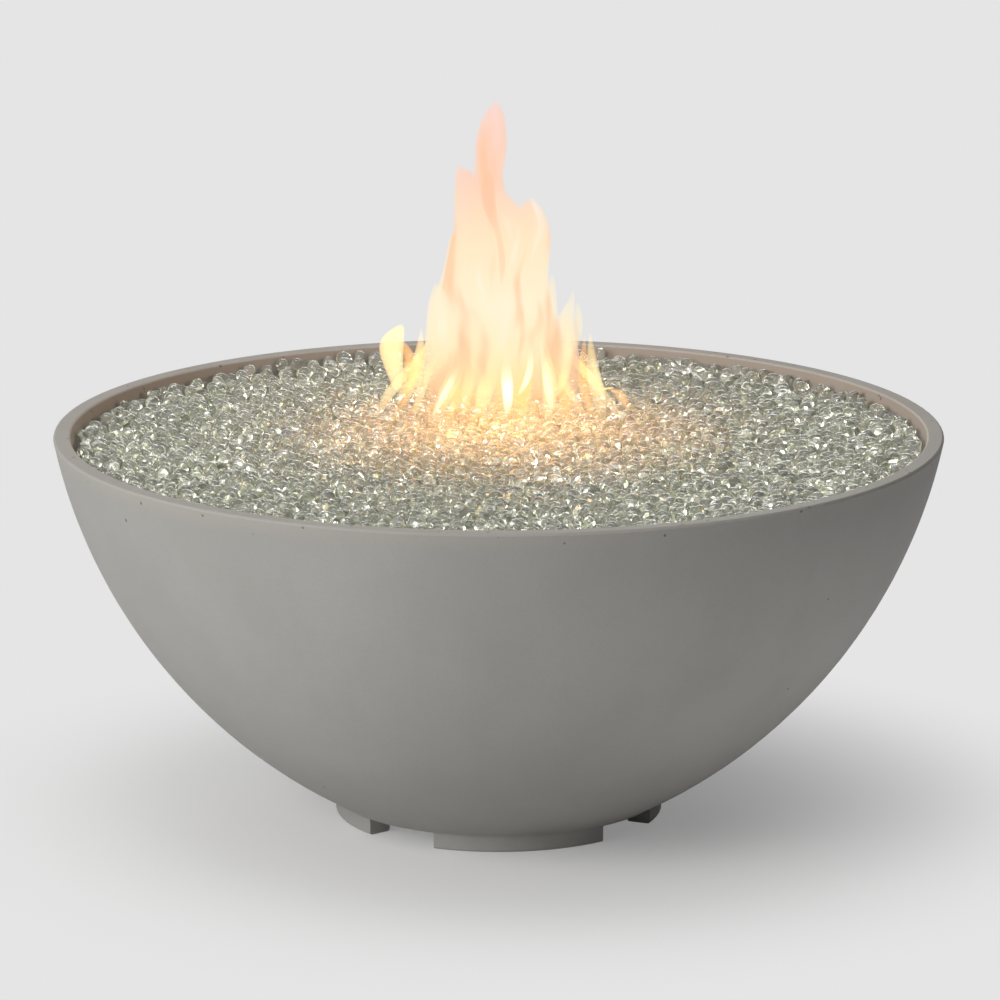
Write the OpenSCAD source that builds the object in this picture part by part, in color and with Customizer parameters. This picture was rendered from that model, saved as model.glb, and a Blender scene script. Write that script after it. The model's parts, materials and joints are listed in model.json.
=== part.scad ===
// Gas fire pit bowl
// A cast concrete bowl on four feet, with a ring burner under a bed of fire glass.
// Millimetres. Origin on the floor at the middle of the bowl, +Z up, front at -Y.

/* [Bowl] */
// Outside diameter of the rim
rim_d = 1067; // [950:1200]
// Height from the floor to the rim
bowl_h = 470; // [430:520]
// Radius of the round flank, seen from the side
flank_r = 648; // [620:720]
// Wall thickness above the pan ledge
wall_t = 20; // [16:26]
// Wall thickness below the pan ledge
lower_wall_t = 42; // [39:50]
// Thickness of the floor
floor_t = 40; // [32:50]
// Depth of the pan ledge below the rim
ledge_drop = 42; // [38:60]
// Rounding of both edges of the rim
rim_round = 3.5; // [2:6]

/* [Feet] */
// Outside diameter of the foot ring
foot_d = 395; // [360:440]
// Height of the feet
foot_h = 20; // [16:40]
// Radial width of the feet
foot_w = 29; // [22:40]
// Angle that each foot spans
foot_arc = 62; // [40:75]
// Number of feet
foot_n = 4; // [3:6]
// Rounding of the lower edges of the feet
foot_round = 3; // [1:6]
// Fillet between the feet and the flank
foot_fillet = 6; // [3:10]
// Diameter of the gas and vent hole in the floor
base_hole_d = 140; // [120:150]

/* [Burner pan] */
// Sheet thickness of the pan
sheet_t = 2; // [1.5:3]
// Gap between the pan flange and the bowl wall
pan_gap = 6; // [3:10]
// Room from the middle of the outer ring to the wall of the well
well_room = 50; // [46:70]
// Depth of the well
well_depth = 40; // [38:60]
// Inside bend radius of the sheet
pan_bend = 6; // [3:10]
// Diameter of the drain holes
drain_d = 8; // [5:10]
// Number of drain holes
drain_n = 12; // [6:12]

/* [Ring burner] */
// Middle diameter of the outer ring
ring_d = 560; // [520:570]
// Middle diameter of the inner ring
inner_ring_d = 300; // [280:320]
// Outside diameter of the ring tube
tube_d = 19; // [16:22]
// Wall thickness of the tubes
tube_wall = 1.2; // [1:2]
// Outside diameter of the spoke tubes
spoke_d = 15; // [12:15.5]
// Diameter of the hub
hub_d = 40; // [36:50]
// Height of the hub
hub_h = 28; // [26:30]
// Space below the ring tubes
ring_lift = 12; // [10:16]
// Diameter of the gas ports
port_d = 3; // [2:4]
// Number of ports in the outer ring
port_n = 40; // [16:48]
// Number of ports in the inner ring
inner_port_n = 20; // [8:28]

/* [Burner mounting] */
// Number of stands under the outer ring
stand_n = 4; // [3:6]
// Radial width of a stand
stand_w = 34; // [28:40]
// Plate thickness of a stand
stand_t = 3; // [2:4]
// Length of the foot of a stand
stand_foot = 20; // [16:26]
// Shank diameter of the rivets
rivet_d = 5; // [4:6]
// Head diameter of the rivets
rivet_head_d = 9; // [8:11]
// Head height of the rivets
rivet_head_h = 2; // [1.5:3]
// Outside diameter of the burner pipe nipple
nipple_d = 21.3; // [20:24]
// Wall thickness of the nipple
nipple_wall = 2.6; // [2:3]
// Size across flats of the pan locknuts
locknut_af = 34; // [30:38]
// Height of each pan locknut
locknut_h = 6; // [4:7]

/* [Gas path] */
// Outside diameter of the flare threads
flare_d = 15.875; // [14:18]
// Length of the flare threads
flare_l = 18; // [16:24]
// Diameter of the gas way
gas_bore = 9; // [7:10]
// Diameter of the air mixer
mixer_d = 32; // [30:38]
// Length of the air mixer
mixer_h = 70; // [64:90]
// Width of an air window
window_w = 9; // [6:11]
// Height of an air window
window_h = 22; // [14:26]
// Thread diameter of the orifice
orifice_d = 14; // [12:15]
// Diameter of the jet
jet_d = 2.7; // [1.5:4]
// Outside diameter of the elbow and the fittings
elbow_d = 22; // [20:26]
// Reach of the elbow before its thread
elbow_reach = 26; // [20:40]
// Outside diameter of the braided hoses
hose_d = 12; // [10:12.5]
// Straight length of a hose at each flare
hose_straight = 20; // [15:25]
// How far the burner hose keeps its direction at each end
burner_reach = 70; // [60:80]
// How far the supply hose keeps its direction at each end
supply_reach = 100; // [80:110]
// Size across flats of the flare nuts
flare_nut_af = 20; // [19:24]
// Length of the flare nuts
flare_nut_l = 18; // [16:24]

/* [Gas inlet] */
// Length of the inlet plate across the base hole
inlet_plate_l = 200; // [190:230]
// Width of the inlet plate
inlet_plate_w = 60; // [50:70]
// Thickness of the inlet plate
inlet_plate_t = 4; // [3:6]
// Shank diameter of the inlet union
union_d = 20; // [19:24]
// Size across flats of the inlet union
union_af = 27; // [25:32]
// Shank diameter of the plate screws
inlet_screw_d = 6; // [5:7]
// Depth of the plate screws in the floor
inlet_screw_l = 20; // [14:24]

/* [Control panel] */
// Width of the panel plate
panel_w = 160; // [156:170]
// Height of the panel plate
panel_h = 95; // [92:105]
// Thickness of the panel plate
panel_t = 2; // [1.5:3]
// Height of the middle of the panel above the floor
panel_z = 250; // [235:260]
// Depth of the panel face below the flank
panel_sink = 10; // [10:13]
// Corner radius of the panel
panel_corner = 8; // [4:12]
// Gap round the panel in its recess
panel_gap = 1.5; // [1:3]
// Width of the opening behind the panel
bay_w = 116; // [112:120]
// Height of the opening behind the panel
bay_h = 56; // [52:60]
// Shank diameter of the panel screws
panel_screw_d = 4; // [3:5]
// Length of the panel screws
panel_screw_l = 14; // [10:18]

/* [Gas valve] */
// Place of the valve on the panel, from its middle
valve_x = -34; // [-36:-30]
// Diameter of the valve body
valve_d = 36; // [34:38]
// Diameter of the threaded neck
neck_d = 16; // [15:18]
// Diameter of the plug
plug_d = 18; // [16:20]
// Diameter of the stem
stem_d = 8; // [6:8.5]
// Width of the stem tang
tang_w = 4; // [3:5]
// Push travel of the knob
push_travel = 3; // [2:3.5]
// Wire diameter of the stem spring
stem_wire = 1.2; // [0.8:1.3]
// Turns of the stem spring
stem_turns = 7; // [5:9]
// Diameter of the knob skirt
knob_d = 48; // [44:52]
// Diameter of the knob grip
grip_d = 40; // [38:42]
// Height of the knob
knob_h = 23; // [22:28]
// Number of finger grooves in the knob
groove_n = 10; // [6:14]

/* [Igniter] */
// Place of the igniter on the panel, from its middle
igniter_x = 36; // [33:38]
// Diameter of the igniter barrel
barrel_d = 22; // [21.5:24]
// Diameter of the igniter flange
bezel_d = 30; // [28:34]
// Diameter of the button
button_d = 16; // [15:16.4]
// Travel of the button
button_travel = 4; // [2:5]
// Wire diameter of the button spring
button_wire = 0.9; // [0.6:1]
// Turns of the button spring
button_turns = 4; // [3:5]

/* [Ignition at the burner] */
// Direction of the spark point round the burner
spark_turn = 135; // [130:140]
// Gap from the ring to the spark rod
spark_gap = 6; // [4:8]
// Height of the hood
hood_h = 36; // [34:37]
// Diameter of the ceramic insulator
ceramic_d = 9; // [8:10]
// Diameter of the spark rod
rod_d = 2.4; // [2:3]
// Diameter of the thermocouple tip
probe_d = 6; // [5:7]
// Diameter of the spark lead
lead_d = 5; // [4:6]
// Diameter of the thermocouple lead
thermo_d = 3; // [2.4:4]
// Length of the boots on the leads
boot_l = 10; // [8:12]
// How far the spark lead keeps its direction at each end
spark_reach = 60; // [40:70]
// How far the thermocouple lead keeps its direction at each end
thermo_reach = 30; // [25:40]

/* [Fire glass] */
// Depth of the tops of the glass below the rim
glass_drop = 10; // [9:16]
// Height of the pebbles of the top layer over the dips between them
pebble_h = 9; // [5:12]
// How much lower the lowest pebbles of the top layer lie
pebble_drop = 4; // [0:6]
// Rings of points that the top layer is drawn with
glass_rings = 36; // [12:38]
// Seed of the places of the pebbles
glass_seed = 7; // [1:99]

/* [Fits] */
// Radial gap of running fits
run_fit = 0.06; // [0.03:0.1]
// Radial gap of threads and located pieces
thread_fit = 0.1; // [0.05:0.2]
// Radial gap of bolts in their holes
hole_fit = 0.2; // [0.15:0.4]
// Gap between bodies that move past each other
body_gap = 0.3; // [0.2:0.5]
// Gap round the loose glass
glass_gap = 0.5; // [0.3:1]

/* [Hidden] */

// Flank arc: the circle of flank_r through the widest point of the rim and the top of the foot ring
rim_r = rim_d / 2;
foot_r = foot_d / 2;
rim_low = bowl_h - rim_round;
chord = [rim_r - foot_r, rim_low - foot_h];
chord_l = norm(chord);
arc_leg = sqrt(pow(flank_r, 2) - pow(chord_l / 2, 2));
arc_c = [(rim_r + foot_r) / 2 - arc_leg * chord.y / chord_l,
    (rim_low + foot_h) / 2 + arc_leg * chord.x / chord_l];
floor_z = foot_h + floor_t;
ledge_z = bowl_h - ledge_drop;
edge_bias = 0.12;
foot_proud = 0.6;

// Radius of the flank, moved in by t, at height z
function wall_r(z, t) = arc_c.x + sqrt(pow(flank_r - t, 2) - pow(arc_c.y - z, 2));

// Pan heights
flange_top = ledge_z + sheet_t;
well_r = ring_d / 2 + well_room;
flange_r = wall_r(ledge_z, wall_t) - pan_gap;
pan_top = flange_top - well_depth;
pan_under = pan_top - sheet_t;
ring_z = pan_top + ring_lift + tube_d / 2;
hub_under = ring_z - hub_h / 2;
hub_socket = 9;
mixer_top = pan_under - locknut_h - 4;
mixer_under = mixer_top - mixer_h;
mixer_socket = 14;
orifice_hex_h = 8;
orifice_thread = 10;
elbow_top = mixer_under - orifice_hex_h;
elbow_z = elbow_top - 25;

// Panel frame: z outwards through the panel, y up along the flank, x to the right of someone facing it
panel_tilt = asin((arc_c.y - panel_z) / flank_r);
panel_y = wall_r(panel_z, 0) - panel_sink * cos(panel_tilt);
panel_mid_z = panel_z + panel_sink * sin(panel_tilt);
function panel_dir(v) =
    [-v.x, v.y * sin(panel_tilt) + v.z * cos(panel_tilt), v.y * cos(panel_tilt) - v.z * sin(panel_tilt)];
function panel_point(p) = [0, panel_y, panel_mid_z] + panel_dir(p);
screw_x = panel_w / 2 - 10;
screw_y = panel_h / 2 - 10;

// Valve heights along the panel axis
neck_top = 7;
nut_h = 5;
shoulder_d = 26;
shoulder_z = -22;
chamber_top = -10;
chamber_d = 14;
plug_top = -42;
port_z = -64;
plug_under = -72;
valve_under = -78;
collar_t = 3;
collar_d = chamber_d - 1;
tang_top = plug_top + 4;
tang_l = 16;
slot_depth = tang_l - 4 + push_travel + 1;
stem_top = 24;
outlet_hex_h = 10;
outlet_end = valve_under - outlet_hex_h - flare_l;
inlet_boss = 26;
inlet_end = inlet_boss + flare_l;
knob_under = push_travel + 1;
knob_roof = knob_under + 11;
screw_turn = 2 * 360 / groove_n;

// Igniter heights along the panel axis
bezel_h = 3;
barrel_under = -70;
tail_under = -84;
nozzle_under = -92;
button_top = bezel_h + button_travel + 2;
button_step = -2;
button_collar_d = button_d + 1.1;
button_bore_d = button_collar_d + 0.5;
button_under = button_step - body_gap - 3;
battery_top = button_under - 10.5;
battery_l = 50;

// Spark point: x outwards from the burner, z up from the pan
spark_r = inner_ring_d / 2 + tube_d / 2 + spark_gap + rod_d / 2;
spark_side = 12;
spark_p = [spark_r, -spark_side];
probe_p = [spark_r, spark_side];
hood_in = 4;
hood_out = 24;
hood_half = 30;
hood_t = 1.5;
hood_rivet = [17, 22];
function spark_point(p) = [cos(spark_turn) * (spark_r + p.x) - sin(spark_turn) * p.y,
    sin(spark_turn) * (spark_r + p.x) + cos(spark_turn) * p.y, pan_top + p.z];

// Flare ends: where each hose starts and which way it leaves
union_top = floor_z + inlet_plate_t + 10;
union_shank = 16;
inlet_locknut_h = 8;
supply_a = [0, 0, union_top + flare_l];
supply_b = panel_point([valve_x, -inlet_end, port_z]);
supply_b_dir = panel_dir([0, -1, 0]);
burner_a = panel_point([valve_x, 0, outlet_end]);
burner_a_dir = panel_dir([0, 0, -1]);
burner_b = [0, elbow_reach + flare_l, elbow_z];
hose_start = 0.2;
lead_taper = 1;

// Swept tubes
function unit(v) = v / norm(v);
function bezier(a, b, c, d, t) =
    pow(1 - t, 3) * a + 3 * pow(1 - t, 2) * t * b + 3 * (1 - t) * t * t * c + t * t * t * d;
function route(a, da, b, db, n) = [for (i = [0 : n]) bezier(a, a + da, b + db, b, i / n)];
function tangent(p, i) = unit(p[min(i + 1, len(p) - 1)] - p[max(i - 1, 0)]);
function ring_points(p, i, r, sides, side) =
    let (t = tangent(p, i), n = unit(cross(t, side)), b = cross(t, n))
    [for (j = [0 : sides - 1]) p[i] + r * (cos(360 * j / sides) * n + sin(360 * j / sides) * b)];

// A closed tube along the points p, with one radius for each point
module swept(p, radii, sides, side) {
    count = len(p);
    points = [for (i = [0 : count - 1]) each ring_points(p, i, radii[i], sides, side)];
    walls = [for (i = [0 : count - 2], j = [0 : sides - 1])
        let (a = i * sides + j, b = i * sides + (j + 1) % sides)
        each [[a, a + sides, b + sides], [a, b + sides, b]]];
    first_cap = [[for (j = [0 : sides - 1]) j]];
    last_cap = [[for (j = [0 : sides - 1]) count * sides - 1 - j]];
    polyhedron(points = points, faces = concat(walls, first_cap, last_cap), convexity = 6);
}

// A coil spring standing on z, as one unbroken tube
module coil(mean_r, wire_d, turns, z0, z1) {
    steps = turns * 8;
    rise = z1 - z0 - wire_d;
    p = [for (i = [0 : steps])
        [mean_r * cos(45 * i), mean_r * sin(45 * i), z0 + wire_d / 2 + rise * i / steps]];
    swept(p, [for (i = [0 : steps]) wire_d / 2], 6, [0, 0, 1]);
    echo(str("coil gap at rest ", rise / turns - wire_d));
}

module at_panel() {
    translate([0, panel_y, panel_mid_z]) rotate([90 + panel_tilt, 0, 180]) children();
}

module at_valve() {
    at_panel() translate([valve_x, 0, 0]) children();
}

module at_igniter() {
    at_panel() translate([igniter_x, 0, 0]) children();
}

module at_spark() {
    rotate([0, 0, spark_turn]) translate([spark_r, 0, pan_top]) children();
}

module round_rect(w, h, r) {
    square([w - 2 * r, h], center = true);
    square([w, h - 2 * r], center = true);
    for (x = [-1, 1], y = [-1, 1])
        translate([x * (w / 2 - r), y * (h / 2 - r)]) circle(r = r);
}

// A cylinder between two heights
module rod(d, z0, z1) {
    translate([0, 0, z0]) cylinder(d = d, h = z1 - z0);
}

// A hexagon bar between two heights, by its size across flats
module hex(af, z0, z1) {
    translate([0, 0, z0]) cylinder(d = af / cos(30), h = z1 - z0, $fn = 6);
}

// Bowl

// The disc inside the flank, moved in by t, between two heights
module flank_slice(t, z0, z1) {
    intersection() {
        translate(arc_c) circle(r = flank_r - t);
        translate([0, z0]) square([rim_r + 60, z1 - z0]);
    }
}

// What a rounded edge takes off, in the quarter named by sx and sy
module edge_cut(p, r, sx, sy) {
    translate(p) scale([sx, sy]) difference() {
        square(3 * r);
        circle(r = r);
    }
}

module bowl_profile() {
    difference() {
        flank_slice(0, foot_h, bowl_h);
        flank_slice(lower_wall_t, floor_z, ledge_z);
        flank_slice(wall_t, ledge_z, bowl_h + 1);
        edge_cut([rim_r - rim_round + edge_bias, rim_low + edge_bias], rim_round, 1, 1);
        edge_cut([wall_r(rim_low, wall_t) + rim_round - edge_bias, rim_low + edge_bias], rim_round, -1, 1);
    }
    foot_profile();
}

// Points on an arc round c
function arc_points(c, r, a0, a1, n) =
    [for (i = [0 : n]) c + r * [cos(a0 + (a1 - a0) * i / n), sin(a0 + (a1 - a0) * i / n)]];

// A foot, with rounded lower edges and a fillet g that runs out on the flank
module foot_profile() {
    out = foot_r + foot_proud;
    inner = foot_r - foot_w;
    g = [out + foot_fillet,
        arc_c.y - sqrt(pow(flank_r + foot_fillet, 2) - pow(out + foot_fillet - arc_c.x, 2))];
    back = arc_c - g;
    polygon(concat(
        arc_points([inner + foot_round, foot_round], foot_round, 180, 270, 5),
        arc_points([out - foot_round, foot_round], foot_round, 270, 360, 5),
        arc_points(g, foot_fillet, 180, atan2(back.y, back.x), 5),
        [arc_c - (flank_r - 5) * unit(back), [inner, foot_h + 8]]));
}

module bowl_shell() {
    color([0.6, 0.59, 0.57])
    difference() {
        rotate_extrude() bowl_profile();
        for (i = [0 : foot_n - 1])
            rotate([0, 0, 360 / foot_n * i - 90 + foot_arc / 2]) rotate_extrude(angle = 360 / foot_n - foot_arc)
                translate([foot_r - foot_w - 4, -1]) square([foot_w + 40, foot_h + 1]);
        rod(base_hole_d, -1, floor_z + 1);
        at_panel() translate([0, 0, -panel_t]) linear_extrude(height = 90)
            round_rect(panel_w + 2 * panel_gap, panel_h + 2 * panel_gap, panel_corner + panel_gap);
        at_panel() translate([0, 0, -90]) linear_extrude(height = 92) round_rect(bay_w, bay_h, panel_corner);
        at_panel() for (x = [-1, 1], y = [-1, 1])
            translate([x * screw_x, y * screw_y, 0])
                rod(panel_screw_d + 2 * hole_fit, -panel_t - panel_screw_l, 1);
        for (x = [-1, 1], y = [-1, 1])
            translate([x * (inlet_plate_l / 2 - 15), y * (inlet_plate_w / 2 - 12), 0])
                rod(inlet_screw_d + 2 * hole_fit, floor_z - inlet_screw_l - 1, floor_z + 1);
    }
}

// Burner pan

// A quarter of a bend, from radius pan_bend to pan_bend + sheet_t, in the quarter named by sx and sy
module bend(p, sx, sy) {
    translate(p) scale([sx, sy]) intersection() {
        difference() {
            circle(r = pan_bend + sheet_t);
            circle(r = pan_bend);
        }
        square(pan_bend + sheet_t);
    }
}

module burner_pan() {
    color([0.72, 0.72, 0.71])
    difference() {
        rotate_extrude() {
            translate([well_r + sheet_t + pan_bend, ledge_z])
                square([flange_r - well_r - sheet_t - pan_bend, sheet_t]);
            bend([well_r + sheet_t + pan_bend, ledge_z - pan_bend], -1, 1);
            translate([well_r, pan_top + pan_bend]) square([sheet_t, ledge_z - 2 * pan_bend - pan_top]);
            bend([well_r - pan_bend, pan_top + pan_bend], 1, -1);
            translate([0, pan_under]) square([well_r - pan_bend, sheet_t]);
        }
        rod(nipple_d + 2 * hole_fit, pan_under - 1, pan_top + 1);
        for (i = [0 : drain_n - 1])
            rotate([0, 0, 360 / drain_n * (i + 0.5)]) translate([(ring_d + inner_ring_d) / 4 + 10, 0, 0])
                rod(drain_d, pan_under - 1, pan_top + 1);
        at_stands() translate([0, stand_t / 2 + stand_foot / 2, 0])
            rod(rivet_d + 2 * hole_fit, pan_under - 1, pan_top + 1);
        at_spark() for (y = [-1, 1]) {
            translate([hood_rivet.x, y * hood_rivet.y, 0]) rod(rivet_d + 2 * hole_fit, -sheet_t - 1, 1);
            translate([0, y * spark_side, 0]) rod(ceramic_d + 2 * hole_fit, -sheet_t - 1, 1);
        }
    }
}

// Ring burner: two hollow rings on hollow spokes from one hub, drilled along the top

// A ring of round section; its seams lie at the angle seam of the section and clear of spokes and ports
module ring(d, r, seam) {
    translate([0, 0, ring_z]) rotate([0, 0, 18])
        rotate_extrude() translate([d / 2, 0]) rotate(seam) circle(r = r);
}

module spokes(d, r0, r1) {
    for (i = [0 : 3])
        rotate([0, 0, 90 * i]) translate([r0, 0, ring_z]) rotate([0, 90, 0]) cylinder(d = d, h = r1 - r0);
}

module ports(d, n) {
    for (i = [0 : n - 1])
        rotate([0, 0, 360 / n * (i + 0.5)]) translate([d / 2, 0, 0]) rod(port_d, ring_z, ring_z + tube_d);
}

module ring_burner() {
    bore = tube_d / 2 - tube_wall;
    spoke_bore = spoke_d - 2 * tube_wall;
    color([0.62, 0.62, 0.63])
    difference() {
        union() {
            ring(ring_d, tube_d / 2, 270);
            ring(inner_ring_d, tube_d / 2, 270);
            spokes(spoke_d, hub_d / 4, ring_d / 2);
            rotate([0, 0, 45]) rod(hub_d, hub_under, hub_under + hub_h);
        }
        ring(ring_d, bore, 270);
        ring(inner_ring_d, bore, 270);
        spokes(spoke_bore, spoke_d / 2, ring_d / 2);
        rotate([0, 0, 45]) rod(nipple_d - 2 * nipple_wall, hub_under - 1, ring_z + hub_h / 4);
        rotate([0, 0, 45]) rod(nipple_d + 2 * thread_fit, hub_under - 1, hub_under + hub_socket);
        ports(ring_d, port_n);
        ports(inner_ring_d, inner_port_n);
    }
}

module at_stands() {
    for (i = [0 : stand_n - 1])
        rotate([0, 0, 360 / stand_n * (i + 0.5)]) translate([ring_d / 2, 0, 0]) children();
}

module burner_stands() {
    saddle_h = ring_lift + tube_d / 2;
    color([0.66, 0.66, 0.67])
    at_stands() translate([0, 0, pan_top]) {
        rotate([90, 0, 0]) translate([0, 0, -stand_t / 2]) linear_extrude(height = stand_t)
            difference() {
                translate([-stand_w / 2, 0]) square([stand_w, saddle_h - 1]);
                translate([0, saddle_h]) circle(d = tube_d + 2 * hole_fit);
            }
        difference() {
            translate([-stand_w / 2, stand_t / 2, 0]) cube([stand_w, stand_foot, stand_t]);
            translate([0, stand_t / 2 + stand_foot / 2, 0]) rod(rivet_d + 2 * hole_fit, -1, stand_t + 1);
        }
    }
}

// A rivet through the pan and a plate of thickness t on it
module rivet(t) {
    rod(rivet_d, -sheet_t - rivet_head_h, t + rivet_head_h);
    rod(rivet_head_d, t, t + rivet_head_h);
    rod(rivet_head_d, -sheet_t - rivet_head_h, -sheet_t);
}

module pan_rivets() {
    color([0.75, 0.75, 0.75]) {
        at_stands() translate([0, stand_t / 2 + stand_foot / 2, pan_top]) rivet(stand_t);
        at_spark() for (y = [-1, 1]) translate([hood_rivet.x, y * hood_rivet.y, 0]) rivet(hood_t);
    }
}

module burner_nipple() {
    color([0.55, 0.55, 0.56])
    difference() {
        rod(nipple_d, mixer_top - mixer_socket, hub_under + hub_socket);
        rod(nipple_d - 2 * nipple_wall, mixer_top - mixer_socket - 1, hub_under + hub_socket + 1);
    }
}

module pan_locknuts() {
    color([0.6, 0.6, 0.6])
    difference() {
        union() {
            hex(locknut_af, pan_top, pan_top + locknut_h);
            hex(locknut_af, pan_under - locknut_h, pan_under);
        }
        rod(nipple_d + 2 * thread_fit, pan_under - locknut_h - 1, pan_top + locknut_h + 1);
    }
}

// Gas path below the pan

module air_mixer() {
    window_mid = mixer_under + orifice_thread + 8 + window_h / 2;
    color([0.58, 0.58, 0.6])
    difference() {
        rod(mixer_d, mixer_under, mixer_top);
        rod(nipple_d + 2 * thread_fit, mixer_top - mixer_socket, mixer_top + 1);
        rod(nipple_d - 2 * nipple_wall, mixer_under + orifice_thread, mixer_top);
        rod(orifice_d + 2 * thread_fit, mixer_under - 1, mixer_under + orifice_thread + 1);
        for (a = [0, 90])
            rotate([0, 0, a + 45]) translate([0, 0, window_mid])
                cube([window_w, mixer_d + 2, window_h], center = true);
    }
}

module gas_orifice() {
    tip = mixer_under + orifice_thread + 9;
    color([0.78, 0.64, 0.3])
    difference() {
        union() {
            hex(19, elbow_top, mixer_under);
            rod(orifice_d, elbow_top - orifice_thread, elbow_top);
            rod(orifice_d, mixer_under, mixer_under + orifice_thread);
            translate([0, 0, mixer_under + orifice_thread]) cylinder(d1 = orifice_d - 3, d2 = 2 * jet_d, h = 9);
        }
        rod(gas_bore - 2, elbow_top - orifice_thread - 1, mixer_under + orifice_thread - 2);
        rod(jet_d, mixer_under, tip + 1);
    }
}

module mixer_elbow() {
    color([0.76, 0.62, 0.3])
    difference() {
        union() {
            rod(elbow_d, elbow_z, elbow_top);
            translate([0, 0, elbow_z]) sphere(d = elbow_d);
            translate([0, 0, elbow_z]) rotate([-90, 0, 0]) rod(elbow_d, 0, elbow_reach);
            translate([0, 0, elbow_z]) rotate([-90, 0, 0]) rod(flare_d, elbow_reach, elbow_reach + flare_l);
        }
        rod(gas_bore, elbow_z, elbow_top);
        rod(orifice_d + 2 * thread_fit, elbow_top - orifice_thread, elbow_top + 1);
        translate([0, 0, elbow_z]) rotate([-90, 0, 0]) rod(gas_bore, 0, elbow_reach + flare_l + 1);
    }
}

// A braided hose between two flare ends; its tube stands hose_start off each flare
module hose(a, da, b, db, reach) {
    n = 24;
    p = concat([a + hose_start * da], route(a + hose_straight * da, reach * da, b + hose_straight * db,
        reach * db, n), [b + hose_start * db]);
    swept(p, [for (i = [0 : n + 2]) hose_d / 2], 10, [1, 0, 0]);
}

module burner_hose() {
    color([0.5, 0.5, 0.52]) hose(burner_a, burner_a_dir, burner_b, [0, 1, 0], burner_reach);
}

module supply_hose() {
    color([0.5, 0.5, 0.52]) hose(supply_a, [0, 0, 1], supply_b, supply_b_dir, supply_reach);
}

// A flare nut with the flare end at z = 0 and the hose leaving along +z
module flare_nut() {
    back = flare_nut_l / 3;
    difference() {
        hex(flare_nut_af, back - flare_nut_l, back);
        rod(flare_d + 2 * thread_fit, back - flare_nut_l - 1, 0);
        rod(hose_d + 2 * hole_fit, -1, back + 1);
    }
}

module hose_nuts() {
    color([0.74, 0.6, 0.3]) {
        translate(supply_a) flare_nut();
        translate(burner_b) rotate([-90, 0, 0]) flare_nut();
        at_valve() translate([0, -inlet_end, port_z]) rotate([90, 0, 0]) flare_nut();
        at_valve() translate([0, 0, outlet_end]) rotate([180, 0, 0]) flare_nut();
    }
}

// Gas inlet in the base hole

module inlet_spots() {
    for (x = [-1, 1], y = [-1, 1])
        translate([x * (inlet_plate_l / 2 - 15), y * (inlet_plate_w / 2 - 12), 0]) children();
}

module inlet_plate() {
    color([0.45, 0.46, 0.48])
    difference() {
        translate([0, 0, floor_z]) linear_extrude(height = inlet_plate_t)
            round_rect(inlet_plate_l, inlet_plate_w, 8);
        rod(union_d + 2 * hole_fit, floor_z - 1, floor_z + inlet_plate_t + 1);
        inlet_spots() rod(inlet_screw_d + 2 * hole_fit, floor_z - 1, floor_z + inlet_plate_t + 1);
    }
}

module inlet_screws() {
    top = floor_z + inlet_plate_t;
    color([0.7, 0.7, 0.72])
    inlet_spots() {
        rod(inlet_screw_d, floor_z - inlet_screw_l, top);
        difference() {
            hex(10, top, top + 4);
            rod(4, top + 2.5, top + 5);
        }
    }
}

module inlet_union() {
    seat = floor_z + inlet_plate_t;
    shank_end = seat - union_shank;
    color([0.76, 0.62, 0.3])
    difference() {
        union() {
            hex(union_af, seat, union_top);
            rod(flare_d, union_top, union_top + flare_l);
            rod(union_d, shank_end, seat);
            rod(flare_d, shank_end - flare_l - 2, shank_end);
        }
        rod(gas_bore, shank_end - flare_l - 3, union_top + flare_l + 1);
    }
}

module inlet_locknut() {
    color([0.74, 0.6, 0.3])
    difference() {
        hex(union_af + 3, floor_z - inlet_locknut_h, floor_z);
        rod(union_d + 2 * thread_fit, floor_z - inlet_locknut_h - 1, floor_z + 1);
    }
}

// Control panel

module control_plate() {
    color([0.5, 0.5, 0.52])
    at_panel() difference() {
        translate([0, 0, -panel_t]) linear_extrude(height = panel_t) round_rect(panel_w, panel_h, panel_corner);
        translate([valve_x, 0, 0]) rod(neck_d + 2 * hole_fit, -panel_t - 1, 1);
        translate([igniter_x, 0, 0]) rod(barrel_d + 2 * hole_fit, -panel_t - 1, 1);
        for (x = [-1, 1], y = [-1, 1])
            translate([x * screw_x, y * screw_y, 0]) rod(panel_screw_d + 2 * hole_fit, -panel_t - 1, 1);
    }
}

module panel_screws() {
    color([0.72, 0.72, 0.74])
    at_panel() for (x = [-1, 1], y = [-1, 1]) translate([x * screw_x, y * screw_y, 0]) {
        rod(panel_screw_d, -panel_screw_l, 0);
        difference() {
            rod(2 * panel_screw_d, 0, 2.4);
            hex(2.5, 0.9, 3);
        }
    }
}

// Gas valve

module valve_body() {
    color([0.74, 0.61, 0.32])
    at_valve() difference() {
        union() {
            rod(neck_d, -panel_t, neck_top);
            rod(shoulder_d, shoulder_z, -panel_t);
            rod(valve_d, valve_under, shoulder_z);
            translate([0, 0, port_z]) rotate([90, 0, 0]) rod(elbow_d, 0, inlet_boss);
            translate([0, 0, port_z]) rotate([90, 0, 0]) rod(flare_d, inlet_boss, inlet_end);
            translate([0, 0, port_z]) rotate([-90, 0, 0]) rod(flare_d, 0, inlet_boss);
        }
        rod(stem_d + 2 * run_fit, chamber_top - 1, neck_top + 1);
        rod(chamber_d, plug_top - 1, chamber_top);
        rod(plug_d + 2 * run_fit, valve_under - 1, plug_top);
        translate([0, 0, port_z]) rotate([90, 0, 0]) rod(gas_bore, 0, inlet_end + 1);
    }
}

module bonnet_nut() {
    color([0.74, 0.6, 0.3])
    at_valve() difference() {
        hex(22, 0, nut_h);
        rod(neck_d + 2 * thread_fit, -1, nut_h + 1);
    }
}

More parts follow.
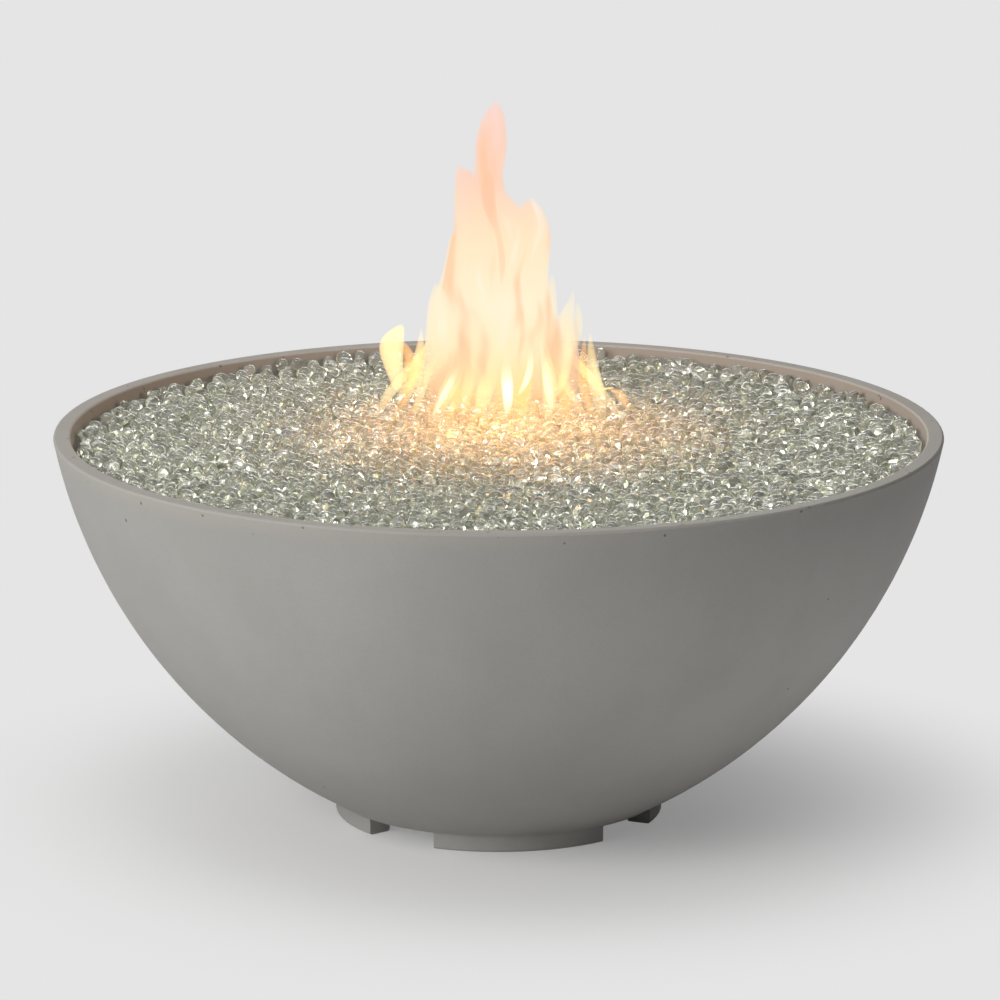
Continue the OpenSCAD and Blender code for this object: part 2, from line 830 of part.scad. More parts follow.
module valve_outlet() {
    color([0.76, 0.62, 0.3])
    at_valve() difference() {
        union() {
            rod(plug_d, valve_under, plug_under - body_gap);
            hex(26, valve_under - outlet_hex_h, valve_under);
            rod(flare_d, outlet_end, valve_under - outlet_hex_h);
        }
        rod(gas_bore, outlet_end - 1, plug_under + 1);
    }
}

// Plug with an L-shaped gas way: it lines up with the inlet after a quarter turn
module valve_plug() {
    color([0.66, 0.52, 0.26])
    at_valve() difference() {
        rod(plug_d, plug_under, plug_top - body_gap);
        translate([0, 0, plug_top - slot_depth / 2])
            cube([tang_w + 0.4, plug_d + 2, slot_depth], center = true);
        rod(gas_bore, plug_under - 1, port_z);
        translate([0, 0, port_z]) rotate([0, -90, 0]) rod(gas_bore, 0, plug_d);
    }
}

module valve_stem() {
    color([0.7, 0.7, 0.72])
    at_valve() union() {
        rod(stem_d, tang_top, stem_top);
        rod(collar_d, chamber_top - body_gap - collar_t, chamber_top - body_gap);
        intersection() {
            rod(stem_d, tang_top - tang_l, tang_top + 1);
            cube([tang_w, 2 * stem_d, 400], center = true);
        }
    }
}

module stem_spring() {
    color([0.8, 0.8, 0.82])
    at_valve() coil((stem_d + chamber_d) / 4, stem_wire, stem_turns, plug_top - body_gap + 0.1,
        chamber_top - body_gap - collar_t - 0.1);
}

module valve_knob() {
    skirt = 7;
    color([0.12, 0.12, 0.13])
    at_valve() difference() {
        union() {
            rod(knob_d, knob_under, knob_under + skirt);
            rod(grip_d, knob_under + skirt, knob_under + knob_h);
            translate([-1, grip_d / 2 - 13, knob_under + knob_h - 0.5]) cube([2, 9, 1.5]);
        }
        rod(knob_d - 14, knob_under - 1, knob_roof);
        rod(stem_d + 2 * thread_fit, knob_roof - 1, stem_top + 0.2);
        for (i = [0 : groove_n - 1])
            rotate([0, 0, 360 / groove_n * (i + 0.5)]) translate([grip_d / 2 + 2, 0, 0])
                rod(8, knob_under + skirt + 1, knob_under + knob_h + 1);
        translate([0, 0, knob_roof + 5]) rotate([0, 90, screw_turn]) rod(4 + 2 * thread_fit, 0, grip_d);
    }
}

module knob_screw() {
    color([0.3, 0.3, 0.32])
    at_valve() translate([0, 0, knob_roof + 5]) rotate([0, 90, screw_turn]) difference() {
        rod(4, stem_d / 2 + 0.3, grip_d / 2 - 4);
        hex(2, grip_d / 2 - 6, grip_d / 2);
    }
}

// Igniter

module igniter_body() {
    color([0.1, 0.1, 0.11])
    at_igniter() difference() {
        union() {
            rod(bezel_d, 0, bezel_h);
            rod(barrel_d, barrel_under, 0);
            rod(barrel_d - 4, tail_under, barrel_under);
            rod(lead_d + 3, nozzle_under, tail_under);
        }
        rod(button_d + 0.4, button_step - 1, bezel_h + 1);
        rod(button_bore_d, barrel_under + 4, button_step);
    }
}

module igniter_nut() {
    color([0.15, 0.15, 0.16])
    at_igniter() difference() {
        hex(28, -panel_t - 6, -panel_t);
        rod(barrel_d + 2 * thread_fit, -panel_t - 7, 0);
    }
}

module igniter_button() {
    color([0.75, 0.1, 0.08])
    at_igniter() union() {
        rod(button_d, button_under + 1, button_top - 1.5);
        translate([0, 0, button_top - 1.5]) cylinder(d1 = button_d, d2 = button_d - 3, h = 1.5);
        rod(button_collar_d, button_under, button_step - body_gap);
    }
}

module igniter_spring() {
    color([0.8, 0.8, 0.82])
    at_igniter() coil(5.6, button_wire, button_turns, battery_top + 0.1, button_under - 0.1);
}

module igniter_battery() {
    color([0.3, 0.34, 0.38])
    at_igniter() union() {
        rod(14.5, battery_top - battery_l, battery_top);
        rod(5.5, battery_top - 1, battery_top + 1.2);
    }
}

// Spark and flame sensing

module ignition_hood() {
    half = hood_half;
    color([0.68, 0.68, 0.69])
    at_spark() difference() {
        union() {
            translate([-hood_in - 4, -half, 0]) cube([hood_out + hood_in + 4, 2 * half, hood_t]);
            translate([hood_out - hood_t, -half, 0]) cube([hood_t, 2 * half, hood_h]);
            for (y = [-half, half - hood_t]) translate([-hood_in, y, 0])
                cube([hood_out + hood_in, hood_t, hood_h]);
            translate([-hood_in, -half, hood_h - hood_t]) cube([hood_out + hood_in, 2 * half, hood_t]);
        }
        for (y = [-1, 1]) {
            translate([hood_rivet.x, y * hood_rivet.y, 0]) rod(rivet_d + 2 * hole_fit, -1, hood_t + 1);
            translate([0, y * spark_side, 0]) rod(ceramic_d + 2 * hole_fit, -1, hood_t + 1);
        }
        for (y = [-20 : 10 : 20]) translate([hood_out / 2, y, hood_h - hood_t / 2])
            cube([14, 4, 4], center = true);
    }
}

module electrode_insulator() {
    color([0.93, 0.92, 0.88])
    at_spark() translate([0, -spark_side, 0]) difference() {
        union() {
            rod(ceramic_d, -16, 14);
            rod(ceramic_d + 5, hood_t, hood_t + 3);
        }
        rod(rod_d + 2 * thread_fit, -17, 15);
    }
}

module electrode_rod() {
    color([0.7, 0.68, 0.62])
    at_spark() translate([0, -spark_side, 0]) rod(rod_d, -24, hood_h - 6);
}

module thermocouple() {
    color([0.6, 0.58, 0.54])
    at_spark() translate([0, spark_side, 0]) union() {
        rod(probe_d, hood_t, hood_h - 6);
        hex(12, hood_t, hood_t + 4);
        rod(ceramic_d, -14, hood_t);
    }
}

module ignition_nuts() {
    color([0.66, 0.66, 0.68])
    at_spark() for (y = [-1, 1]) translate([0, y * spark_side, 0]) difference() {
        hex(14, -sheet_t - 3, -sheet_t);
        rod(ceramic_d + 2 * thread_fit, -sheet_t - 4, 0);
    }
}

// A lead with a boot at each end
module lead(a, da, b, db, d, boot_d, reach) {
    n = 22;
    past = boot_l + lead_taper;
    p = concat([a + hose_start * da, a + boot_l * da],
        route(a + past * da, reach * da, b + past * db, reach * db, n),
        [b + boot_l * db, b + hose_start * db]);
    radii = [for (i = [0 : n + 4]) (i < 2 || i > n + 2) ? boot_d / 2 : d / 2];
    swept(p, radii, 6, [1, 0, 0]);
}

module spark_lead() {
    color([0.85, 0.3, 0.1])
    lead(panel_point([igniter_x, 0, nozzle_under]), panel_dir([0, 0, -1]),
        spark_point([0, -spark_side, -24]), [0, 0, -1],
        lead_d, lead_d + 3, spark_reach);
}

module thermocouple_lead() {
    color([0.72, 0.45, 0.2])
    lead(panel_point([valve_x, inlet_boss, port_z]), panel_dir([0, 1, 0]),
        spark_point([0, spark_side, -14]), [0, 0, -1],
        thermo_d, 10, thermo_reach);
}

// Fire glass

module glass_fill() {
    g = glass_gap;
    color([0.78, 0.83, 0.82])
    difference() {
        rotate_extrude() polygon([[0, pan_top + g], [well_r - pan_bend - g, pan_top + g],
            [well_r - g, pan_top + pan_bend + g],
            [well_r - g, flange_top], [0, flange_top]]);
        ring(ring_d, tube_d / 2 + g, 90);
        ring(inner_ring_d, tube_d / 2 + g, 90);
        spokes(spoke_d + 2 * g, hub_d / 4, ring_d / 2);
        rotate([0, 0, 45]) rod(max(hub_d, locknut_af / cos(30)) + 2 * g, pan_top, hub_under + hub_h + g);
        at_stands() translate([-stand_w / 2 - g, -stand_t / 2 - g, pan_top])
            cube([stand_w + 2 * g, stand_foot + stand_t + 2 * g, ring_lift + tube_d / 2]);
        at_spark() translate([-hood_in - 4 - g, -hood_half - g, -1])
            cube([hood_out + hood_in + 4 + 2 * g, 2 * hood_half + 2 * g, hood_h + g + 1]);
    }
}

// The top layer: a disc of triangles with 6 k points on ring k. Every third point is the top of a pebble,
// and the six points round it are dips, so each pebble is a low six-sided pyramid.
function ring_index(k, j) = k == 0 ? 0 : 1 + 3 * k * (k - 1) + j % (6 * k);
function is_pebble(k, j) = k == 0 || (k < glass_rings && (k + j % k) % 3 == 0);

module glass_top() {
    n = glass_rings;
    total = ring_index(n + 1, 0);
    high = bowl_h - glass_drop;
    top_r = wall_r(high - pebble_h, wall_t) - 2 * glass_gap;
    low = flange_top + glass_gap;
    low_r = wall_r(low, wall_t) - 2 * glass_gap;
    step = top_r / n;
    drops = rands(0, 1, total, glass_seed);
    shifts = rands(-1, 1, 2 * total, glass_seed + 1);
    function shift(k, pebble) = step * (k == n ? 0 : k == n - 1 ? 0.1 : pebble ? 0.4 : 0.15);
    function glass_point(k, j) =
        let (i = ring_index(k, j), a = k == 0 ? 0 : 60 * j / k, pebble = is_pebble(k, j), s = shift(k, pebble))
        [k * step * cos(a) + s * shifts[2 * i], k * step * sin(a) + s * shifts[2 * i + 1],
            high - (pebble ? pebble_drop * drops[i] : pebble_h + drops[i])];
    top = [for (k = [0 : n], j = [0 : max(0, 6 * k - 1)]) glass_point(k, j)];
    under = [for (j = [0 : 6 * n - 1]) [low_r * cos(60 * j / n), low_r * sin(60 * j / n), low]];
    top_faces = [for (k = [0 : n - 1], s = [0 : 5]) each concat(
        [for (i = [0 : k])
            [ring_index(k, s * k + i), ring_index(k + 1, s * (k + 1) + i + 1),
                ring_index(k + 1, s * (k + 1) + i)]],
        [for (i = [0 : 1 : k - 1])
            [ring_index(k, s * k + i), ring_index(k, s * k + i + 1), ring_index(k + 1, s * (k + 1) + i + 1)]])];
    edge = 6 * n;
    first = ring_index(n, 0);
    side_faces = [for (j = [0 : edge - 1])
        let (a = first + j, b = first + (j + 1) % edge, c = total + j, d = total + (j + 1) % edge)
        each [[a, b, d], [a, d, c]]];
    under_face = [[for (j = [0 : edge - 1]) total + j]];
    color([0.82, 0.87, 0.86])
    polyhedron(points = concat(top, under), faces = concat(top_faces, side_faces, under_face), convexity = 10);
}

bowl_shell();
burner_pan();
ring_burner();
burner_stands();
pan_rivets();
burner_nipple();
pan_locknuts();
air_mixer();
gas_orifice();
mixer_elbow();
burner_hose();
supply_hose();
hose_nuts();
inlet_plate();
inlet_screws();
inlet_union();
inlet_locknut();
control_plate();
panel_screws();
valve_body();
bonnet_nut();
valve_outlet();
valve_plug();
valve_stem();
stem_spring();
valve_knob();
knob_screw();
igniter_body();
igniter_nut();
igniter_button();
igniter_spring();
igniter_battery();
ignition_hood();
electrode_insulator();
electrode_rod();
thermocouple();
ignition_nuts();
spark_lead();
thermocouple_lead();
glass_fill();
glass_top();
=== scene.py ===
# %% [markdown]
# # A gas fire bowl
# A heavy concrete bowl stands on four cast feet. Clear tumbled glass fills it to just under the rim, and
# a gas burner hidden in the glass feeds one open flame. The CAD model already has every solid in its
# place, so this lesson only adds what CAD leaves plain: the finishes, the loose glass, the springs and
# hoses, the light and the flame. All of it is in metres, in the CAD model's own frame.

import json
import math

import bpy
import numpy as np
from mathutils import Matrix, Vector


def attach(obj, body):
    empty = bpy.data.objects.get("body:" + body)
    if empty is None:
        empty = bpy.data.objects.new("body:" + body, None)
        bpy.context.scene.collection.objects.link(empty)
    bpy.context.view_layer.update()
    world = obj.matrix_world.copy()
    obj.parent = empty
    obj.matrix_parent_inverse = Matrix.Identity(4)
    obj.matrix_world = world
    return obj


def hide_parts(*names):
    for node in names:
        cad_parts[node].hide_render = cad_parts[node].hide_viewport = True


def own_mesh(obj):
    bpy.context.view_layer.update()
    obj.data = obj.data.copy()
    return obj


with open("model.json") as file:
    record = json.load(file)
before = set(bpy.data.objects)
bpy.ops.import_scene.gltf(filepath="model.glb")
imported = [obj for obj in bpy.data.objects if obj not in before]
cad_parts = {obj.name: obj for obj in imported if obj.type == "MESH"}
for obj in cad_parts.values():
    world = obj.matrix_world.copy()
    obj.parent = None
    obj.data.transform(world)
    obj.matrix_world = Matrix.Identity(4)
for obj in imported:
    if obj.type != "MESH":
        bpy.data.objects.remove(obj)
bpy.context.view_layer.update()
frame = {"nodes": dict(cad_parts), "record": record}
nodes = frame["nodes"]
bpy.ops.object.select_all(action="DESELECT")

# %% [markdown]
# ## The camera
# The photograph is taken from about seven metres with a long lens, a little above the rim, so the rim is
# a flat ellipse. The lens, the height and the distance were solved from the widths of the rim and the
# feet. A slight turn to the left brings the front foot to the right of the middle, as in the photograph.

# %% Camera
AIM = Vector((0.0, 0.0, 0.383))
TURN = math.radians(-8.0)
TILT = math.radians(13.305)
AWAY = 7.2249

out = Vector((math.sin(TURN) * math.cos(TILT), -math.cos(TURN) * math.cos(TILT), math.sin(TILT)))
bpy.ops.object.camera_add(location=AIM + AWAY * out, rotation=out.to_track_quat("Z", "Y").to_euler())
camera = bpy.context.object
camera.data.sensor_width = 36
camera.data.lens = 216
camera.data.shift_x = 0.0013
camera.data.clip_end = 100
bpy.context.scene.camera = camera
bpy.context.scene.view_settings.view_transform = "Standard"
print("camera at", [round(x, 3) for x in camera.location])

# %% [markdown]
# ## Shader sums in plain Python
# A finish is a small web of nodes. Wiring each sum by hand hides what it means, so one class wraps a
# socket and lets + - * / and ** add the Math nodes. A second class holds a web and adds any other node in
# one call, and a third one is a web that starts as a material.

# %% Wires
class Wire:
    """One value in a shader. Sums on it add Math nodes."""

    def __init__(self, web, socket):
        self.web = web
        self.socket = socket

    def sum(self, operation, a, b):
        return self.web.node("Math", {"operation": operation}, {0: a, 1: b})

    def __add__(self, other):
        return self.sum("ADD", self, other)

    __radd__ = __add__

    def __sub__(self, other):
        return self.sum("SUBTRACT", self, other)

    def __rsub__(self, other):
        return self.sum("SUBTRACT", other, self)

    def __mul__(self, other):
        return self.sum("MULTIPLY", self, other)

    __rmul__ = __mul__

    def __truediv__(self, other):
        return self.sum("DIVIDE", self, other)

    def __rtruediv__(self, other):
        return self.sum("DIVIDE", other, self)

    def __pow__(self, other):
        return self.sum("POWER", self, other)

    def most(self, other):
        return self.sum("MAXIMUM", self, other)

    def other(self, name):
        """Another output of the node that this wire leaves."""
        return Wire(self.web, self.socket.node.outputs[name])


print("ready:", Wire.__name__)

# %% Webs
class Web:
    """A node tree and the calls that fill it."""

    def __init__(self, tree):
        self.tree = tree

    def join(self, value, socket):
        if isinstance(value, Wire):
            self.tree.links.new(value.socket, socket)
        else:
            socket.default_value = value

    def node(self, kind, settings=None, values=None, out=0):
        made = self.tree.nodes.new("ShaderNode" + kind)
        for key, value in (settings or {}).items():
            if key == "stops":
                ramp = made.color_ramp.elements
                while len(ramp) < len(value):
                    ramp.new(0.5)
                for stop, (place, colour) in zip(ramp, value):
                    stop.position = place
                    stop.color = (*colour, 1.0)
            else:
                setattr(made, key, value)
        for key, value in (values or {}).items():
            self.join(value, made.inputs[key])
        return Wire(self, made.outputs[out])

    def fade(self, value, low, high):
        """0 below low, 1 above high and an even curve between."""
        return self.node("MapRange", {"interpolation_type": "SMOOTHSTEP"},
                         {"Value": value, "From Min": low, "From Max": high})

    def blend(self, factor, first, second):
        """One colour turning into another."""
        first = first if isinstance(first, Wire) else (*first, 1.0)
        second = second if isinstance(second, Wire) else (*second, 1.0)
        return self.node("Mix", {"data_type": "RGBA"}, {0: factor, 6: first, 7: second}, out=2)

    def noise(self, place, scale, detail, rough):
        values = {"Vector": place, "Scale": scale, "Detail": detail, "Roughness": rough}
        return self.node("TexNoise", {}, values)

    def cells(self, place, scale):
        return self.node("TexVoronoi", {}, {"Vector": place, "Scale": scale})

    def stretched(self, place, x, y, z):
        return self.node("Mapping", {}, {"Vector": place, "Scale": (x, y, z)})


print("ready:", Web.__name__)

# %% Finishes
class Finish(Web):
    """A material that starts from the Principled shader."""

    def __init__(self, name):
        self.material = bpy.data.materials.new(name)
        self.material.use_nodes = True
        super().__init__(self.material.node_tree)
        self.shader = self.tree.nodes["Principled BSDF"]
        self.place = self.node("TexCoord", out="Object")

    def set(self, **sockets):
        """Values for the shader. Base_Color stands for Base Color."""
        for name, value in sockets.items():
            if name == "Base_Color" and not isinstance(value, Wire):
                value = (*value, 1.0)
            self.join(value, self.shader.inputs[name.replace("_", " ")])

    def bump(self, height, depth, strength):
        lifted = self.node("Bump", {}, {"Strength": strength, "Distance": depth, "Height": height})
        self.join(lifted, self.shader.inputs["Normal"])


print("ready:", Finish.__name__)

# %% [markdown]
# ## The studio
# The photograph is a cut-out on a flat pale grey. A wide floor gives that grey and still takes a soft
# shadow: near the bowl it is a plain matt floor, and further out it turns into the same flat grey for
# what the camera sees. A big soft lamp at the left front shapes the bowl from light to dark, as in the
# photograph. One overhead lights the glass, one behind keeps the back readable, and a weak one on the
# floor stands for what the floor throws back. The sky fills the rest and darkens towards the right.

# %% Floor
BACKDROP = (0.783, 0.783, 0.783)
FLOOR_GREY = (0.86, 0.86, 0.86)
FLOOR_RADIUS = 30.0
UNDER_THE_FEET = -0.0005
MATT_WITHIN = 0.24
FLAT_BEYOND = 0.80
LEAST_FLAT = 0.30


def in_view(web):
    """1 for what the camera sees, mirrored or through glass too, and 0 for what only gives light."""
    ray = web.node("LightPath", out="Is Camera Ray")
    return ray.most(ray.other("Is Glossy Ray")).most(ray.other("Is Transmission Ray"))


bpy.ops.mesh.primitive_circle_add(vertices=128, radius=FLOOR_RADIUS, fill_type="NGON",
                                  location=(0, 0, UNDER_THE_FEET))
floor = bpy.context.object
floor.name = "studio_floor"
matt = Finish("studio_floor")
matt.set(Base_Color=FLOOR_GREY, Roughness=1.0)
matt.shader.inputs["Specular IOR Level"].default_value = 0.0
away = matt.node("VectorMath", {"operation": "LENGTH"}, {0: matt.place}, out="Value")
flatness = matt.fade(away, MATT_WITHIN, FLAT_BEYOND) * (1.0 - LEAST_FLAT) + LEAST_FLAT
flat = matt.node("Emission", {}, {"Color": (*BACKDROP, 1.0)})
lit = Wire(matt, matt.shader.outputs[0])
mixed = matt.node("MixShader", {}, {0: in_view(matt) * flatness, 1: lit, 2: flat})
matt.join(mixed, matt.tree.nodes["Material Output"].inputs["Surface"])
floor.data.materials.append(matt.material)
print("floor nodes:", len(matt.tree.nodes))

# %% Sky
SKY_LEFT = (0.205, 0.205, 0.210)
SKY_RIGHT = (0.050, 0.050, 0.052)

world = bpy.data.worlds.new("studio_world")
bpy.context.scene.world = world
world.use_nodes = True
sky = Web(world.node_tree)
side = sky.node("SeparateXYZ", {}, {0: sky.node("TexCoord", out="Generated")})
fill = sky.blend(sky.fade(side, -0.5, 0.6), SKY_LEFT, SKY_RIGHT)
tint = sky.blend(in_view(sky), fill, BACKDROP)
sky.join(tint, world.node_tree.nodes["Background"].inputs["Color"])
print("sky nodes:", len(sky.tree.nodes))

# %% Lamps
def soft_lamp(name, place, aim, size, power, colour=(1.0, 1.0, 1.0)):
    """A square lamp that looks at a point. It has a side in metres and a power in watts."""
    way = Vector(place) - Vector(aim)
    bpy.ops.object.light_add(type="AREA", location=place, rotation=way.to_track_quat("Z", "Y").to_euler())
    lamp = bpy.context.object
    lamp.name = name
    lamp.data.shape = "SQUARE"
    lamp.data.size = size
    lamp.data.energy = power
    lamp.data.color = colour
    lamp.visible_camera = False


soft_lamp("key_lamp", (-3.6, -2.4, 2.3), (0, 0, 0.3), 2.6, 150, (1.0, 0.985, 0.965))
soft_lamp("top_lamp", (-0.6, -0.4, 4.2), (0, 0, 0.3), 2.0, 41)
soft_lamp("rear_lamp", (0.9, 4.0, 1.7), (0, 0, 0.2), 2.2, 28)
soft_lamp("low_lamp", (0.50, -0.50, 0.012), (0.48, -0.48, 0.5), 0.9, 0.9)

# %% [markdown]
# ## Concrete
# The bowl is cast in a smooth mould. Its skin is a warm light grey with faint clouds, a very fine grain,
# and a few pin holes where air sat against the mould, most of them along the edge of the rim. The pin
# holes are painted dark, as painted shade in the pits, and the band at the rim is painted lighter and
# warmer, as painted light. The strip of wall above the glass is darker and browner. All of it is worked
# out from the place in the bowl, so nothing needs unwrapping. A pair of numbers says where a change
# begins and where it ends, in metres.

# %% Concrete finish
RIM_HEIGHTS = (0.445, 0.464)
WALL_RADII = (0.5165, 0.5145)
WALL_TOP = (0.4690, 0.4665)
WALL_FOOT = (0.40, 0.42)


def pin_holes(web, scale, share, reach):
    """Small round pits: 1 in a pit and 0 elsewhere. Only a share of the cells have one."""
    near = web.cells(web.place, scale)
    pick = web.node("SeparateColor", {}, {0: near.other("Color")})
    size = web.fade(pick, 1.0 - share, 1.0) * reach
    return web.fade(size - near, 0.0, 0.04)


concrete = Finish("concrete")
spot = concrete.node("SeparateXYZ", {}, {0: concrete.place})
height = spot.other("Z")
radius = (spot * spot + spot.other("Y") * spot.other("Y")) ** 0.5
cloud = concrete.noise(concrete.place, 2.6, 4.0, 0.55)
blotch = concrete.noise(concrete.stretched(concrete.place, 1.0, 1.0, 0.45), 9.0, 5.0, 0.6)
grain = concrete.noise(concrete.place, 420.0, 3.0, 0.6)
at_rim = concrete.fade(height, *RIM_HEIGHTS)
inside = concrete.fade(radius, *WALL_RADII) * concrete.fade(height, *WALL_TOP)
inside = inside * concrete.fade(height, *WALL_FOOT)
holes = pin_holes(concrete, 30.0, 0.10, 0.085).most(pin_holes(concrete, 95.0, 0.35, 0.22) * at_rim)
tone = concrete.blend(concrete.fade(cloud, 0.30, 0.70), (0.345, 0.339, 0.322), (0.385, 0.378, 0.361))
tone = concrete.blend(concrete.fade(blotch, 0.35, 0.75) * 0.45, tone, (0.335, 0.327, 0.309))
# The band at the rim is painted lighter and warmer: painted light on the rim.
tone = concrete.blend(at_rim * 0.40, tone, (0.405, 0.375, 0.340))
# The strip of wall above the glass is darker and browner.
tone = concrete.blend(inside * 0.80, tone, (0.270, 0.238, 0.208))
tone = concrete.blend(concrete.fade(grain, 0.45, 0.75) * 0.18, tone, (0.26, 0.25, 0.23))
# The pin holes are painted dark: painted shade inside the pits.
tone = concrete.blend(holes * 0.75, tone, (0.12, 0.115, 0.105))
concrete.set(Base_Color=tone, Roughness=0.70 + blotch * 0.20)
concrete.shader.inputs["Specular IOR Level"].default_value = 0.35
concrete.bump(grain * 0.10 + blotch * 0.12 - holes, 0.0012, 0.7)
print("concrete nodes:", len(concrete.tree.nodes))

# %% [markdown]
# ## Metals
# Inside are brushed stainless sheet, zinc plated steel, die-cast aluminium, turned brass, a probe stained
# by heat and a copper lead. They differ in colour and in the marks that their making leaves. One function
# makes them all, with fine marks stretched along the direction in which the piece was brushed or turned.

# %% Metal finishes
finishes = {"concrete": concrete.material}


def metal(slot, light, dark, rough, marks, depth):
    """A bare metal whose fine marks run as long as marks says on each axis."""
    web = Finish(slot)
    stroke = web.noise(web.stretched(web.place, *marks), 1.0, 3.0, 0.6)
    cloudy = web.noise(web.place, 24.0, 3.0, 0.55)
    web.set(Base_Color=web.blend(web.fade(cloudy, 0.3, 0.7), dark, light), Metallic=1.0)
    web.set(Roughness=rough + stroke * 0.14 + cloudy * 0.08)
    web.bump(stroke, depth, 0.5)
    finishes[slot] = web.material


metal("stainless", (0.66, 0.66, 0.65), (0.58, 0.58, 0.57), 0.20, (12.0, 900.0, 900.0), 0.00012)
metal("plain_steel", (0.62, 0.62, 0.63), (0.50, 0.51, 0.53), 0.24, (700.0, 700.0, 60.0), 0.00010)
metal("mixer_metal", (0.60, 0.60, 0.61), (0.48, 0.48, 0.49), 0.38, (500.0, 500.0, 500.0), 0.00020)
metal("brass", (0.76, 0.60, 0.29), (0.64, 0.48, 0.22), 0.20, (60.0, 60.0, 1500.0), 0.00008)
metal("probe_metal", (0.56, 0.50, 0.43), (0.36, 0.30, 0.30), 0.30, (300.0, 300.0, 900.0), 0.00010)
metal("copper_lead", (0.70, 0.40, 0.24), (0.48, 0.24, 0.13), 0.24, (200.0, 200.0, 200.0), 0.00008)
print("metals:", sorted(finishes))

# %% [markdown]
# ## Coated and moulded pieces
# The inlet plate is powder coated, which leaves a fine orange-peel skin. The knob and the igniter are
# moulded plastic with a spark-eroded grain, and the button is the same plastic polished and coloured red.
# The battery has a plain sleeve, the electrode sits in glazed white ceramic and its lead is silicone.

# %% Coated and moulded finishes
def moulded(slot, colour, worn, rough, scale, depth, coat=0.0):
    """A coloured skin with a fine even grain and a little dust in its tone."""
    web = Finish(slot)
    skin = web.noise(web.place, scale, 2.0, 0.5)
    dust = web.noise(web.place, 38.0, 4.0, 0.6)
    tone = web.blend(web.fade(dust, 0.45, 0.80) * 0.5, colour, worn)
    web.set(Base_Color=tone, Roughness=rough + dust * 0.14)
    web.shader.inputs["Coat Weight"].default_value = coat
    web.shader.inputs["Coat Roughness"].default_value = 0.08
    web.bump(skin, depth, 0.6)
    finishes[slot] = web.material


moulded("black_steel", (0.028, 0.028, 0.030), (0.065, 0.063, 0.060), 0.42, 900.0, 0.00020)
moulded("knob_black", (0.022, 0.022, 0.024), (0.060, 0.058, 0.056), 0.46, 2600.0, 0.00010)
moulded("igniter_black", (0.026, 0.026, 0.028), (0.060, 0.058, 0.056), 0.34, 2600.0, 0.00006)
moulded("button_red", (0.50, 0.018, 0.014), (0.40, 0.024, 0.020), 0.18, 1400.0, 0.00002, 0.6)
moulded("battery_shell", (0.09, 0.11, 0.13), (0.14, 0.15, 0.16), 0.26, 1200.0, 0.00003, 0.4)
moulded("white_ceramic", (0.80, 0.78, 0.73), (0.62, 0.58, 0.52), 0.14, 500.0, 0.00004, 0.8)
moulded("silicone_lead", (0.42, 0.045, 0.012), (0.34, 0.05, 0.02), 0.48, 1800.0, 0.00004)
print("finishes:", len(finishes))

# %% [markdown]
# ## Who wears what
# Every CAD node gets the finish of its own material slot in the record, so that the two never disagree.
# The hoses and the glass get theirs further down, where they are made.

# %% Dress the CAD nodes
SUBPARTS = {row["node"]: row["material_slot"] for row in frame["record"]["subparts"]}
for name, slot in SUBPARTS.items():
    if slot in finishes:
        nodes[name].data.materials.clear()
        nodes[name].data.materials.append(finishes[slot])
print("dressed:", sum(slot in finishes for slot in SUBPARTS.values()), "of", len(SUBPARTS))

# %% [markdown]
# ## Springs
# Two wire springs push the knob and the igniter button back out. The CAD springs are coarse, so each is
# wound again: a small circle is the wire's section, a Screw modifier winds it, and the two ends are
# closed. The panel leans back with the bowl's wall, so one matrix holds its place and tilt.

# %% Springs
PANEL_PLACE = (0.0, 0.4385095, 0.2553211)
PANEL_LEAN = math.radians(90 + 32.1479)
FACING_BACK = Matrix.Rotation(math.pi, 4, "Z") @ Matrix.Rotation(PANEL_LEAN, 4, "X")
PANEL = Matrix.Translation(PANEL_PLACE) @ FACING_BACK


def close_and_turn_out():
    """Closes the open ends of the mesh in edit mode and points its faces outwards."""
    bpy.ops.mesh.select_all(action="SELECT")
    bpy.ops.mesh.remove_doubles(threshold=1e-6)
    bpy.ops.mesh.fill_holes(sides=0)
    bpy.ops.mesh.normals_make_consistent(inside=False)


def spring(node, body, side, coil, wire, turns, low, high):
    """A wire spring on the panel's normal, between two heights, in millimetres."""
    bpy.ops.object.select_all(action="DESELECT")
    bpy.ops.mesh.primitive_circle_add(vertices=10, radius=wire / 2000, location=(coil / 1000, 0, 0),
                                      rotation=(math.pi / 2, 0, 0))
    piece = bpy.context.object
    piece.name = node + "_wound"
    bpy.ops.object.transform_apply(location=True, rotation=True, scale=True)
    wind = piece.modifiers.new("wind", "SCREW")
    wind.screw_offset = (high - low - wire) / turns / 1000
    wind.iterations = turns
    wind.steps = wind.render_steps = 18
    bpy.ops.object.modifier_apply(modifier="wind")
    bpy.ops.object.mode_set(mode="EDIT")
    close_and_turn_out()
    bpy.ops.mesh.faces_shade_smooth()
    bpy.ops.object.mode_set(mode="OBJECT")
    piece.data.transform(PANEL @ Matrix.Translation((side / 1000, 0, (low + wire / 2) / 1000)))
    piece.data.materials.append(finishes["plain_steel"])
    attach(piece, body)
    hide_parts(node)
    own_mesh(piece)
    print(piece.name, "faces:", len(piece.data.polygons))


spring("stem_spring", "valve_rotor", -34, 5.5, 1.2, 7, -42.2, -13.4)
spring("igniter_spring", "base", 36, 5.6, 0.9, 4, -15.7, -5.4)

# %% [markdown]
# ## Hoses and leads
# Two braided gas hoses and two leads run inside the bowl, each fixed at both ends. Their CAD solids are
# many-sided tubes, so smooth ones follow the same routes. A Bezier curve bends just as a stiff hose does:
# it leaves each end straight and curves evenly between. The curve becomes a mesh with a map along its
# length, which the braid of the hose follows. As made, the map gives each stretch between two knots an
# equal share, so it is measured again to count metres.

